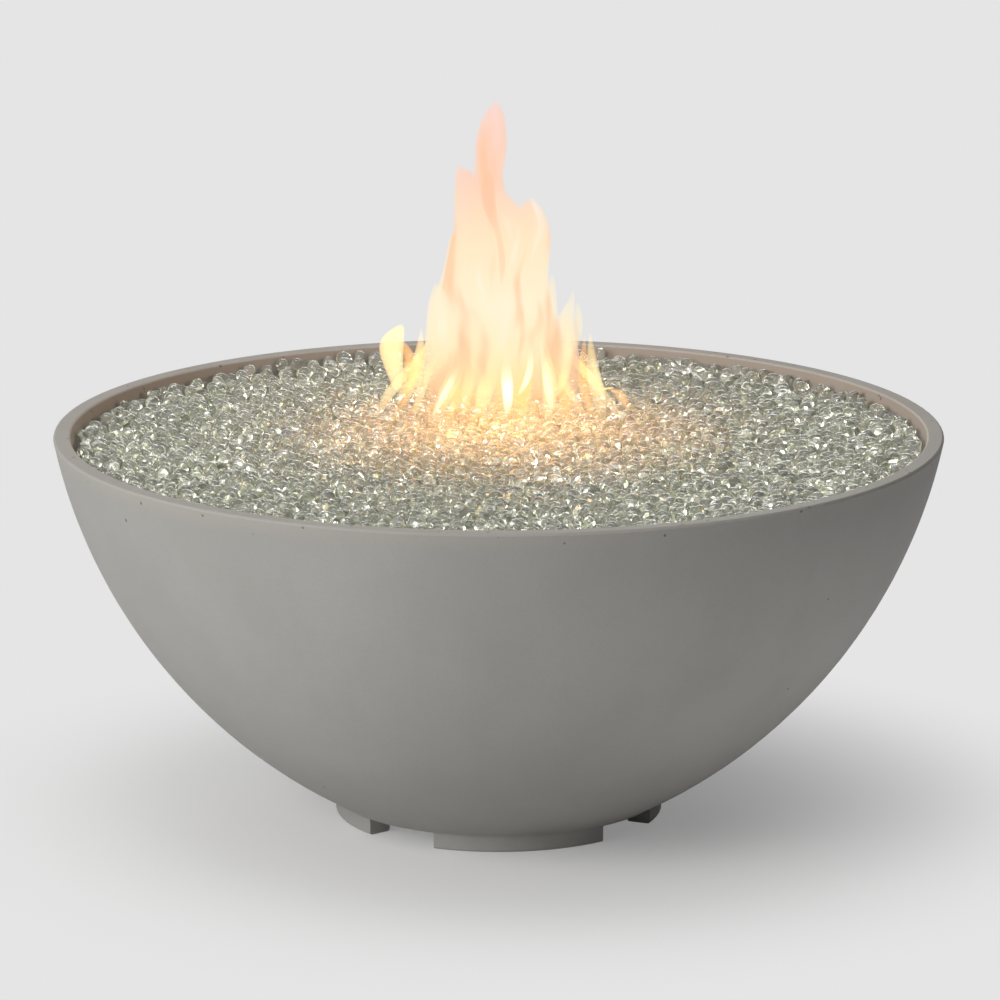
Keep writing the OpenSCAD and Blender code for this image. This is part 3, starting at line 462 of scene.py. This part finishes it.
# %% A map in metres
def measure_map(mesh):
    """Makes the map of a tube count metres along it, and returns the length."""
    sides = np.array([len(face.vertices) for face in mesh.polygons])
    wall = np.repeat(sides, sides) == 4
    layer = mesh.uv_layers[0].data
    spots = np.array([corner.uv for corner in layer])
    places = np.array([mesh.vertices[corner.vertex_index].co for corner in mesh.loops])
    rings = np.unique(spots[wall, 0].round(5))
    middles = np.array([places[wall & (abs(spots[:, 0] - ring) < 2e-5)].mean(axis=0) for ring in rings])
    lengths = np.linalg.norm(np.diff(middles, axis=0), axis=1)
    spots[:, 0] = np.interp(spots[:, 0], rings, np.concatenate(([0.0], np.cumsum(lengths))))
    layer.foreach_set("uv", spots.ravel())
    return float(lengths.sum())


print("ready:", measure_map.__name__)

# %% Tubes along a route
CLEAR = 0.2
TAPER = 1
SHORT_HANDLE = 0.2
LONG_HANDLE = 4.0


def tube(node, slot, start, start_way, end, end_way, straight, reach, thick, boot=None):
    """A round tube that leaves both ends straight, in millimetres. Boot is the thickness of thicker ends."""
    start, end = Vector(start), Vector(end)
    start_way, end_way = Vector(start_way).normalized(), Vector(end_way).normalized()
    ends = [(start + CLEAR * start_way, boot), (start + straight * start_way, None),
            (end + straight * end_way, None), (end + CLEAR * end_way, boot)]
    if boot:
        ends.insert(1, (start + (straight - TAPER) * start_way, boot))
        ends.insert(4, (end + (straight - TAPER) * end_way, boot))
    half = len(ends) // 2
    bpy.ops.object.select_all(action="DESELECT")
    bpy.ops.curve.primitive_bezier_curve_add(location=(0, 0, 0))
    piece = bpy.context.object
    piece.name = node + "_tube"
    line = piece.data.splines[0]
    line.bezier_points.add(len(ends) - 2)
    for i, (place, wide) in enumerate(ends):
        knot = line.bezier_points[i]
        way = start_way if i < half else -end_way
        short = SHORT_HANDLE if boot or i in (0, len(ends) - 1) else LONG_HANDLE
        back = reach if i == half else short
        ahead = reach if i == half - 1 else short
        knot.handle_left_type = knot.handle_right_type = "FREE"
        knot.co = place / 1000
        knot.handle_left = (place - back * way) / 1000
        knot.handle_right = (place + ahead * way) / 1000
        knot.radius = (wide or thick) / thick
    piece.data.dimensions = "3D"
    piece.data.resolution_u = 28
    piece.data.bevel_depth = thick / 2000
    piece.data.bevel_resolution = 4
    piece.data.use_fill_caps = True
    bpy.ops.object.convert(target="MESH")
    piece = bpy.context.object
    length = measure_map(piece.data)
    bpy.ops.object.mode_set(mode="EDIT")
    close_and_turn_out()
    bpy.ops.mesh.faces_shade_smooth()
    bpy.ops.object.mode_set(mode="OBJECT")
    piece.data.materials.clear()
    piece.data.materials.append(finishes[slot])
    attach(piece, "base")
    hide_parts(node)
    print(piece.name, "faces:", len(piece.data.polygons), "length: %.3f m" % length)


# %% Braid
braid = Finish("braided_hose")
along = braid.node("SeparateXYZ", {}, {0: braid.node("UVMap", {"uv_map": "UVMap"})})
STRANDS = 16
STRAND_STEP = 0.002356


def strands(way):
    """Wires that wind round the hose one way, each rising to 1 in its middle."""
    place = along / STRAND_STEP + along.other("Y") * (way * STRANDS)
    return place.sum("PINGPONG", place, 0.5) * 2.0


right, left = strands(1.0), strands(-1.0)
weave = braid.fade(right.most(left), 0.30, 1.0)
braid.set(Base_Color=braid.blend(weave, (0.13, 0.13, 0.135), (0.62, 0.62, 0.63)), Metallic=0.9)
braid.set(Roughness=0.50 - weave * 0.2)
braid.bump(weave, 0.0006, 0.8)
finishes["braided_hose"] = braid.material
print("braid nodes:", len(braid.tree.nodes))

# %% Hoses and leads
UP = (0, 0, 1)
DOWN = (0, 0, -1)
BACKWARDS = (0, 1, 0)
INTO_BOWL = (0, -0.846677, 0.532107)
UP_THE_PANEL = (0, 0.532107, 0.846677)
DOWN_THE_PANEL = (0, -0.532107, -0.846677)

tube("burner_hose", "braided_hose", (34, 348.762, 311.724), INTO_BOWL, (0, 44, 275), BACKWARDS, 20, 70, 12)
tube("supply_hose", "braided_hose", (0, 0, 92), UP, (34, 360.909, 252.122), DOWN_THE_PANEL, 20, 100, 12)
tube("spark_lead", "silicone_lead", (-36, 360.615, 304.275), INTO_BOWL, (-109.389, 126.36, 366), DOWN,
     11, 60, 5, 8)
tube("thermocouple_lead", "copper_lead", (34, 398.157, 311.39), UP_THE_PANEL, (-126.36, 109.389, 376), DOWN,
     11, 30, 3, 10)

# %% [markdown]
# ## Fire glass
# The bed is thousands of loose glass pebbles, about 14 to 24 mm across, clear with a grey-green edge.
# What the eye reads is their bright highlights and the dark gaps between them. A bump map can't give
# that, so the top layers are real pebbles. Six pebbles are modelled from an icosphere with 80 faces, then
# each is copied many times. The CAD node of the top layer has a low pyramid for each of its largest
# pebbles, so one pebble goes on each of those. The rest are poured: a pebble tries several spots
# and rolls to the lowest one near by, and one that would cut the wall slides in until it touches it. A
# lumpy underlayer closes the view into the bed.

# %% Six pebbles
LONG = 1.22
BROAD = 1.14


def pebble(seed, wide, flat):
    """One tumbled glass pebble of about unit radius, as points and faces."""
    bpy.ops.object.select_all(action="DESELECT")
    bpy.ops.mesh.primitive_ico_sphere_add(subdivisions=2, radius=1.0, location=(0, 0, 0))
    piece = bpy.context.object
    bpy.ops.object.mode_set(mode="EDIT")
    bpy.ops.mesh.select_all(action="SELECT")
    bpy.ops.transform.vertex_random(offset=0.05, uniform=0.0, normal=0.9, seed=seed)
    bpy.ops.mesh.vertices_smooth(factor=0.5, repeat=2)
    bpy.ops.transform.resize(value=(LONG, BROAD * wide, BROAD * flat))
    bpy.ops.object.mode_set(mode="OBJECT")
    points = np.array([v.co for v in piece.data.vertices])
    faces = np.array([p.vertices for p in piece.data.polygons])
    bpy.data.objects.remove(piece)
    return points, faces


pebbles = [pebble(1, 0.92, 0.72), pebble(2, 0.84, 0.78), pebble(3, 0.98, 0.66), pebble(4, 0.88, 0.64),
           pebble(5, 0.95, 0.84), pebble(6, 0.80, 0.70)]
print("pebble points:", [len(p) for p, _ in pebbles])

# %% Where a pebble comes to rest
BED_LOW = 0.4335
WALL_FOOT_HEIGHT = 0.43
WALL_AT_BED = 0.5030
WALL_LEAN = 0.247
OFF_WALL = 1.05
HEAP = 0.0050
BACK_HEAP = 0.0050
HEAP_FROM = 0.40
HEAP_WIDTH = 0.09
CELL = 0.026

# Shares of a radius, since pebbles are flatter than balls and nest into each other
LOW_PEBBLE = 0.55
TOUCH = 0.82
FLATTER = 0.80

bed = []
cells_of_bed = {}


def lay(x, y, z, r):
    """Puts a pebble into the bed, with its middle at x, y, z."""
    bed.append((x, y, z, r))
    cells_of_bed.setdefault((int(x // CELL), int(y // CELL)), []).append(bed[-1])


def rest_height(x, y, r):
    """How high a pebble of radius r comes to lie at x, y."""
    high = BED_LOW + LOW_PEBBLE * r
    cx, cy = int(x // CELL), int(y // CELL)
    for i in (cx - 1, cx, cx + 1):
        for j in (cy - 1, cy, cy + 1):
            for px, py, pz, pr in cells_of_bed.get((i, j), ()):
                gap = TOUCH * (r + pr)
                far = (x - px) ** 2 + (y - py) ** 2
                if far < gap * gap:
                    high = max(high, pz + FLATTER * math.sqrt(gap * gap - far))
    return high


def room(z, r):
    """How far from the axis a pebble may lie at this height, inside the leaning wall."""
    return WALL_AT_BED + WALL_LEAN * (z - WALL_FOOT_HEIGHT) - OFF_WALL * r


def heaped(x, y):
    """How much higher the glass is heaped here, towards the wall and most of all at the back."""
    out = math.hypot(x, y)
    back = max(0.0, y / max(out, CELL)) ** 4
    return (HEAP + BACK_HEAP * back) * min(1.0, max(0.0, (out - HEAP_FROM) / HEAP_WIDTH))


def lower_spot(best, x, y, r):
    """The better of best and this spot: where the pebble lies lower. It is kept off the wall."""
    z = rest_height(x, y, r)
    over = math.hypot(x, y) / room(z, r)
    if over > 1.0:
        x, y = x / over, y / over
        z = max(z, rest_height(x, y, r))
    return (x, y, z) if z < best[2] else best


print("lowest pebble of 10 mm radius: %.4f" % rest_height(0.0, 0.0, 0.010))

# %% Pour the glass
POUR_RADIUS = 0.508
SPREAD = 0.16
SMALLEST = 0.66
LARGEST = 1.4
SPOTS = 6
ROLLS = (0.6, 0.45, 0.3, 0.2)
ROLL_TRIES = 3
OVER_MIDDLE = 0.70
GIVE_UP = 120
dice = np.random.default_rng(7)


def pour(count, size, ceiling):
    """Pours pebbles until the next ones would rise over the ceiling."""
    refused = 0
    while count > 0 and refused < GIVE_UP:
        r = float(np.clip(dice.normal(size, SPREAD * size), SMALLEST * size, LARGEST * size))
        best = (0.0, 0.0, 1.0)
        for _ in range(SPOTS):
            way = dice.uniform(0, 2 * math.pi)
            out = POUR_RADIUS * math.sqrt(dice.uniform())
            best = lower_spot(best, out * math.cos(way), out * math.sin(way), r)
        for roll in ROLLS:
            for _ in range(ROLL_TRIES):
                x = best[0] + dice.normal(0, roll * r)
                y = best[1] + dice.normal(0, roll * r)
                best = lower_spot(best, x, y, r)
        if best[2] + OVER_MIDDLE * r > ceiling + heaped(best[0], best[1]):
            refused += 1
            continue
        refused = 0
        count -= 1
        lay(*best, r)


LOW_SIZE = 0.0090
LOW_CEILING = 0.4465
pour(2800, LOW_SIZE, LOW_CEILING)
print("bottom layer:", len(bed))

# %% Glass on the pyramids, and the last pour
TIP_BAND = 0.0045
UNDER_TIP = 0.78
TOP_SIZE = 0.0098
TOP_SPREAD = 0.0010
TOP_SIZES = (0.0080, 0.0118)
TOP_CEILING = 0.4590

crowns = {tuple(round(c, 5) for c in v.co) for v in nodes["glass_top"].data.vertices}
BED_TOP = max(z for x, y, z in crowns)
crowns = sorted(c for c in crowns if c[2] > BED_TOP - TIP_BAND)
for x, y, z in crowns:
    r = float(np.clip(dice.normal(TOP_SIZE, TOP_SPREAD), *TOP_SIZES))
    z += heaped(x, y) - UNDER_TIP * r
    over = max(1.0, math.hypot(x, y) / room(z, r))
    lay(x / over, y / over, z, r)
print("pebbles on the CAD's pyramids:", len(crowns))
pour(2400, TOP_SIZE, TOP_CEILING)
print("pebbles:", len(bed), "highest middle:", max(row[2] for row in bed))

# %% Glass finishes
GREEN_GLASS = (0.88, 0.90, 0.77)
CLEAR_GLASS = (0.99, 0.99, 0.94)

glass = Finish("fire_glass")
tone = glass.node("Attribute", {"attribute_name": "tone"}, out="Fac")
glass.set(Base_Color=glass.blend(tone, GREEN_GLASS, CLEAR_GLASS), Roughness=0.02 + tone * 0.06)
glass.shader.inputs["Transmission Weight"].default_value = 0.92
glass.shader.inputs["IOR"].default_value = 1.5

under = Finish("glass_underlayer")
stone = under.cells(under.place, 85.0)
deep = under.noise(under.place, 30.0, 3.0, 0.6)
# The lumps are light in their middles and dark at their edges: painted shade in the crevices between them.
# The dark grey-green is partly the deeper glass and partly painted shade down in the bed.
tone = under.blend(under.fade(stone, 0.15, 0.75), (0.34, 0.35, 0.29), (0.11, 0.113, 0.093))
under.set(Base_Color=tone, Roughness=0.12 + deep * 0.2)
under.bump(1.0 - stone, 0.004, 0.9)
print("glass nodes:", len(glass.tree.nodes), "underlayer nodes:", len(under.tree.nodes))

# %% Pebbles into a few meshes
SHARE = 2020
LEAN = 0.75
HEADROOM = 0.002


def pebble_mesh(name, rows):
    """One mesh of many pebbles, each turned and sized its own way."""
    points, faces, tones, start = [], [], [], 0
    for x, y, z, r in rows:
        shape, sides = pebbles[dice.integers(len(pebbles))]
        spin = Matrix.Rotation(dice.uniform(0, 2 * math.pi), 3, "Z")
        nod = Matrix.Rotation(dice.normal(0, LEAN), 3, "X")
        roll = Matrix.Rotation(dice.normal(0, LEAN), 3, "Y")
        turned = shape @ np.array(spin @ (nod @ roll)).T
        points.append(turned * r + np.array((x, y, z)))
        faces.append(sides + start)
        tones.append(np.full(len(shape), dice.uniform()))
        start += len(shape)
    points = np.concatenate(points)
    points[:, 2] = np.minimum(points[:, 2], BED_TOP + HEAP + BACK_HEAP + HEADROOM)
    faces = np.concatenate(faces)
    mesh = bpy.data.meshes.new(name)
    mesh.from_pydata(points, [], faces.tolist())
    mesh.attributes.new("tone", "FLOAT", "POINT").data.foreach_set("value", np.concatenate(tones))
    mesh.polygons.foreach_set("use_smooth", [True] * len(mesh.polygons))
    mesh.materials.append(glass.material)
    piece = bpy.data.objects.new(name, mesh)
    bpy.context.collection.objects.link(piece)
    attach(piece, "base")
    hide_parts("glass_top")
    return piece


order = sorted(bed, key=lambda row: math.atan2(row[1], row[0]))
for part, first in enumerate(range(0, len(order), SHARE)):
    piece = pebble_mesh("glass_pebbles_%d" % (part + 1), order[first:first + SHARE])
    print(piece.name, "faces:", len(piece.data.polygons))

# %% Underlayer
UNDER_RADIUS = WALL_AT_BED - 0.0005
UNDER_LOW = 0.4310
UNDER_THICK = 0.0030

bpy.ops.object.select_all(action="DESELECT")
bpy.ops.mesh.primitive_circle_add(vertices=96, radius=UNDER_RADIUS, fill_type="TRIFAN",
                                  location=(0, 0, UNDER_LOW))
lower = bpy.context.object
lower.name = "glass_underlayer"
bpy.ops.object.transform_apply(location=True)
bpy.ops.object.mode_set(mode="EDIT")
bpy.ops.mesh.select_all(action="SELECT")
bpy.ops.mesh.subdivide(number_cuts=5)
bpy.ops.mesh.extrude_region_move(TRANSFORM_OT_translate={"value": (0, 0, UNDER_THICK)})
bpy.ops.transform.vertex_random(offset=0.0018, uniform=0.0, normal=0.2, seed=3)
bpy.ops.mesh.select_all(action="SELECT")
bpy.ops.mesh.normals_make_consistent(inside=False)
bpy.ops.mesh.faces_shade_smooth()
bpy.ops.object.mode_set(mode="OBJECT")
lower.data.materials.append(under.material)
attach(lower, "base")
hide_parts("glass_top")
nodes["glass_fill"].data.materials.clear()
nodes["glass_fill"].data.materials.append(under.material)
print(lower.name, "faces:", len(lower.data.polygons))

# %% [markdown]
# ## The flame
# A gas flame isn't a solid piece, so it belongs to the stage, as the floor does. Each tongue is drawn the
# way one pulls a shape by hand: a small ring of points is extruded upwards again and again, moved and
# scaled at each step, and closed at the tip. Its inside is filled with a faint glowing haze, so a tongue
# is dense in its middle and soft at its edge from every side. The body turns from amber at the root to
# cream and then to pink, with a peach streak on its front. Amber, yellow and near-white licks stand round
# its root. A low glow and a thin haze lie over the glass as painted firelight: they glow where the fire's
# light falls on the glass. Two warm lamps light the glass and the wall as the fire would.

# %% Haze
FLAME_ROOT = 0.455
FLAME_HEIGHT = 0.40


def haze(name, colour, thick, soak):
    """A glow that fills a closed shape. Where it is deep its own colour shows, and where thin the glass."""
    web = Finish(name)
    web.tree.nodes.remove(web.shader)
    glow = web.node("Emission", {}, {"Color": colour(web), "Strength": thick(web)})
    dark = web.node("VolumeAbsorption", {}, {"Color": (0.0, 0.0, 0.0, 1.0), "Density": soak(web)})
    both = web.node("AddShader", {}, {0: glow, 1: dark})
    web.join(both, web.tree.nodes["Material Output"].inputs["Volume"])
    web.material.cycles.volume_step_rate = 0.5
    return web.material


def level(web):
    """Height in the flame, from 0 at the glass to 1 at the tip."""
    return (web.node("SeparateXYZ", {}, {0: web.place}, out="Z") - FLAME_ROOT) / FLAME_HEIGHT


print("haze from %.3f to %.3f" % (FLAME_ROOT, FLAME_ROOT + FLAME_HEIGHT))

# %% Flame finishes
BODY_COLOURS = [
    (0.00, (1.00, 0.58, 0.20)), (0.10, (1.02, 0.76, 0.38)), (0.22, (1.03, 0.88, 0.56)),
    (0.36, (1.03, 0.91, 0.66)), (0.56, (1.02, 0.82, 0.56)), (0.74, (1.02, 0.68, 0.52)),
    (1.00, (1.02, 0.68, 0.61)),
]
DARK_STREAK = (1.02, 0.60, 0.36)
BRIGHT_STREAK = (1.04, 0.98, 0.84)


def rising(web):
    """Amber at the root, cream in the body and pink at the tips, with streaks that run upwards."""
    tone = web.node("ValToRGB", {"stops": BODY_COLOURS}, {0: level(web)})
    upright = web.stretched(web.place, 34.0, 5.0, 6.5)
    sway = web.node("CombineXYZ", {}, {0: web.noise(web.place, 9.0, 1.0, 0.5) * 1.6})
    bent = web.node("VectorMath", {"operation": "ADD"}, {0: upright, 1: sway})
    streak = web.noise(bent, 1.0, 2.0, 0.5)
    tone = web.blend(web.fade(streak, 0.49, 0.64) * 0.85, tone, DARK_STREAK)
    return web.blend(web.fade(streak, 0.44, 0.28) * 0.70, tone, BRIGHT_STREAK)


def rooted(web):
    """Thin at the root, where the glass shows through, and dense higher up."""
    return web.fade(level(web), 0.02, 0.22) * 74.0 + 6.0


def plain(*colour):
    """The same colour all through."""
    return lambda web: (*colour, 1.0)


def even(strength):
    """The same strength all through."""
    return lambda web: strength


def faint(most):
    """Faint where it leaves the glass, and of full strength a little higher."""
    return lambda web: (web.fade(level(web), 0.0, 0.14) * 0.8 + 0.2) * most


hazes = {
    "body": haze("flame_body", rising, rooted, rooted),
    "lick": haze("flame_lick", plain(1.0, 0.74, 0.36), faint(96.0), faint(60.0)),
    "amber": haze("flame_amber", plain(1.0, 0.52, 0.17), faint(96.0), faint(56.0)),
    "white": haze("flame_white", plain(1.0, 0.95, 0.78), faint(150.0), faint(70.0)),
    "peach": haze("flame_peach", plain(1.02, 0.56, 0.36), even(62.0), even(60.0)),
    # The glow is painted firelight on the glass round the flame's root.
    "glow": haze("flame_glow", plain(1.0, 0.47, 0.13), even(1.8), even(0.3)),
}
print("flame finishes:", sorted(hazes))

# %% A tongue of flame
GLASS_HEIGHT = 456


def tongue(name, tint, steps):
    """A tongue of flame. A step is sideways, back, height over the glass and half width, in millimetres."""
    bpy.ops.object.select_all(action="DESELECT")
    steps = [(Vector((x, y, GLASS_HEIGHT + h)) / 1000, w / 1000) for x, y, h, w in steps]
    root, width = steps[0]
    bpy.ops.mesh.primitive_circle_add(vertices=14, radius=width, fill_type="NGON", location=root)
    piece = bpy.context.object
    piece.name = "flame_" + name
    bpy.ops.object.transform_apply(location=True, rotation=True, scale=True)
    bpy.ops.object.mode_set(mode="EDIT")
    bpy.ops.mesh.select_all(action="SELECT")
    for (here, wide), (there, narrow) in zip(steps, steps[1:]):
        bpy.ops.mesh.extrude_region_move(TRANSFORM_OT_translate={"value": there - here})
        bpy.ops.transform.resize(value=(narrow / wide, narrow / wide, 1.0), center_override=there)
    bpy.ops.mesh.select_all(action="SELECT")
    bpy.ops.mesh.normals_make_consistent(inside=False)
    bpy.ops.mesh.faces_shade_smooth()
    bpy.ops.object.mode_set(mode="OBJECT")
    rounder = piece.modifiers.new("rounder", "SUBSURF")
    rounder.levels = rounder.render_levels = 2
    bpy.ops.object.modifier_apply(modifier="rounder")
    piece.data.transform(Matrix.Rotation(TURN, 4, "Z"))
    piece.data.materials.append(hazes[tint])
    piece.visible_shadow = False
    piece.visible_diffuse = False
    print(piece.name, "faces:", len(piece.data.polygons))


# %% The tall tongues
BACK = 140

# How far a tongue stands behind BACK, and its steps: sideways, height and half width
TONGUES = {
    "tall": (0, [
        (-2, 0, 34), (-2, 60, 44), (-4, 120, 46), (-8, 180, 40), (-10, 225, 32), (-13, 262, 24),
        (-13, 294, 19), (-12, 307, 18), (-10, 320, 20), (-9, 347, 20), (-6, 369, 15), (-4, 383, 8),
        (-4, 391, 1)]),
    "left_shoulder": (-8, [
        (-42, 0, 26), (-40, 90, 34), (-38, 170, 30), (-36, 226, 20), (-37, 250, 18), (-39, 271, 16),
        (-40, 292, 14), (-41, 303, 12), (-46, 309, 5), (-50, 313, 1)]),
    "left_step": (12, [
        (-56, 0, 24), (-55, 100, 30), (-54, 150, 24), (-52, 173, 18), (-50, 196, 15), (-50, 214, 12),
        (-54, 223, 5), (-58, 226, 1)]),
    "left_low": (-14, [
        (-66, 0, 24), (-66, 70, 28), (-68, 100, 22), (-69, 121, 20), (-70, 144, 17), (-72, 157, 10),
        (-76, 165, 4), (-77, 169, 1)]),
    "middle": (-6, [
        (12, 0, 30), (12, 120, 34), (11, 180, 36), (12, 225, 32), (11, 250, 22), (10, 263, 14),
        (9, 273, 6), (8, 280, 1)]),
    "right_shoulder": (-4, [
        (36, 0, 30), (37, 90, 34), (36, 158, 26), (36, 182, 25), (38, 208, 26), (39, 225, 26),
        (38, 243, 23), (38, 255, 17), (38, 265, 10), (38, 273, 1)]),
    "right_step": (6, [
        (58, 0, 18), (58, 95, 18), (60, 130, 12), (63, 150, 8), (65, 165, 5), (65, 177, 1)]),
    "right_low": (-12, [
        (78, 0, 22), (80, 70, 22), (78, 100, 17), (80, 120, 12), (86, 138, 7), (90, 151, 3),
        (90, 161, 1)]),
    "right_spark": (-16, [
        (94, 88, 3), (96, 106, 7), (97, 122, 6), (97, 136, 4), (95, 146, 1)]),
    "left_wisp": (-30, [
        (-122, 34, 5), (-126, 58, 10), (-130, 80, 15), (-131, 95, 16), (-127, 108, 13),
        (-121, 116, 7), (-118, 121, 1)]),
    "left_curl": (-30, [
        (-119, 38, 4), (-112, 54, 7), (-107, 70, 8), (-109, 84, 7), (-114, 95, 4), (-118, 101, 1)]),
}
APART = {"left_wisp": "lick", "left_curl": "amber"}
for name, (behind, steps) in TONGUES.items():
    tongue(name, APART.get(name, "body"), [(x, BACK + behind, h, w) for x, h, w in steps])

# The streak on the tall tongue: sideways, how far before BACK, height and half width
STREAK = [(3, 47, 172, 1), (4, 46, 182, 3), (5, 45, 198, 5), (2, 40, 224, 4), (-3, 36, 240, 4),
          (-10, 30, 258, 8), (-13, 25, 278, 10), (-13, 21, 295, 9), (-12, 19, 312, 1)]
tongue("tall_streak", "peach", [(x, BACK - before, h, w) for x, before, h, w in STREAK])

# %% The low licks
FRONT_ROOT = BACK - 36
FRONT_TIP = BACK - 10
REAR_ROOT = BACK + 66
REAR_TIP = BACK + 20
MIRRORED = -0.85
LICK_WIDTHS = (0.45, 1.0, 0.9, 0.35)
TIP_WIDTH = 0.5
flame_dice = np.random.default_rng(12)

# Finish, half width and the points that a lick follows, sideways and up
LICKS = [
    ("lick", 9, [(-147, 8), (-136, 34), (-114, 56), (-88, 90)]),
    ("amber", 8, [(-128, 4), (-114, 30), (-100, 64), (-84, 98)]),
    ("lick", 7, [(-104, 6), (-96, 34), (-88, 60), (-70, 84)]),
    ("white", 5, [(-82, 6), (-66, 34), (-52, 60), (-44, 82)]),
    ("lick", 12, [(-80, 0), (-64, 32), (-48, 66), (-40, 96)]),
    ("amber", 10, [(-58, 2), (-50, 32), (-46, 62), (-38, 88)]),
    ("lick", 8, [(-44, 6), (-38, 36), (-33, 72), (-30, 104)]),
    ("lick", 12, [(-24, 0), (-19, 30), (-10, 58), (0, 90)]),
    ("white", 8, [(10, 8), (12, 36), (8, 62), (12, 92)]),
    ("amber", 12, [(30, 0), (26, 28), (34, 54), (30, 80)]),
    ("white", 5, [(24, 34), (36, 52), (40, 74), (36, 98)]),
    ("white", 6, [(64, 10), (61, 38), (57, 62), (52, 88)]),
    ("lick", 10, [(58, 2), (64, 32), (60, 64), (54, 96)]),
    ("lick", 7, [(70, 30), (80, 54), (86, 80), (84, 104)]),
    ("amber", 9, [(84, 2), (80, 28), (74, 56), (70, 84)]),
    ("lick", 6, [(106, 4), (92, 26), (80, 44), (68, 62)]),
    ("lick", 10, [(128, 4), (121, 34), (114, 62), (112, 92)]),
    ("amber", 8, [(116, 2), (106, 30), (102, 60), (104, 90)]),
    ("lick", 7, [(150, 4), (136, 20), (124, 36), (118, 60)]),
    ("amber", 8, [(158, 14), (151, 32), (140, 40), (128, 36)]),
]


def lick(name, tint, wide, points, near, far):
    """A low flame, thin at both ends. Its root lies at the depth near, and its tip at the depth far."""
    depths = np.linspace(near, far, len(points))
    steps = [(x, y, h, wide * w) for (x, h), y, w in zip(points, depths, LICK_WIDTHS)]
    (x0, h0), (x1, h1) = points[-2:]
    steps.append((1.5 * x1 - 0.5 * x0, far, 1.5 * h1 - 0.5 * h0, TIP_WIDTH))
    tongue(name, tint, steps)


for i, (tint, wide, points) in enumerate(LICKS):
    near = FRONT_ROOT + flame_dice.uniform(-16, 10)
    lick("lick_front_%d" % i, tint, wide, points, near, FRONT_TIP)
    if i % 2 == 0:
        turned = [(MIRRORED * x, h) for x, h in points]
        near = REAR_ROOT + flame_dice.uniform(-12, 12)
        lick("lick_back_%d" % i, tint, wide, turned, near, REAR_TIP)
print("tongues:", len(TONGUES), "licks:", len(LICKS))

# %% Painted firelight over the glass
# Two hazes over the glass are painted firelight: they glow where the fire's light falls, under the flame and
# before it.
PAINTED_GLOW_STEPS = [(2, 132), (30, 128), (62, 104), (92, 60), (104, 4)]
tongue("low_glow", "glow", [(0, BACK, high, wide) for high, wide in PAINTED_GLOW_STEPS])
PAINTED_HAZE_SIDE = 16
NEAR = BACK - 125
PAINTED_HAZE_STEPS = [(1, 290), (3, 283), (8, 236), (14, 184), (22, 128), (30, 70), (34, 2)]
tongue("ember_haze", "glow", [(PAINTED_HAZE_SIDE, NEAR, high, wide) for high, wide in PAINTED_HAZE_STEPS])

# %% Firelight
SPOT_ANGLE = math.radians(140)


def ember(name, kind, place, power, size, colour):
    """A small warm lamp in the flame. A spot looks straight down."""
    bpy.ops.object.light_add(type=kind, location=Matrix.Rotation(TURN, 3, "Z") @ Vector(place))
    lamp = bpy.context.object
    lamp.name = name
    lamp.data.energy = power
    lamp.data.color = colour
    lamp.data.shadow_soft_size = size
    is_spot = kind == "SPOT"
    if is_spot:
        lamp.data.spot_size = SPOT_ANGLE
        lamp.data.spot_blend = 1.0
    lamp.visible_glossy = is_spot
    lamp.visible_transmission = is_spot
    print(lamp.name, "watts:", power)


ember("ember_glow", "SPOT", (0.0, 0.105, 0.60), 7.5, 0.12, (1.0, 0.37, 0.09))
ember("flame_light", "POINT", (0.0, 0.04, 0.62), 4.2, 0.09, (1.0, 0.78, 0.57))
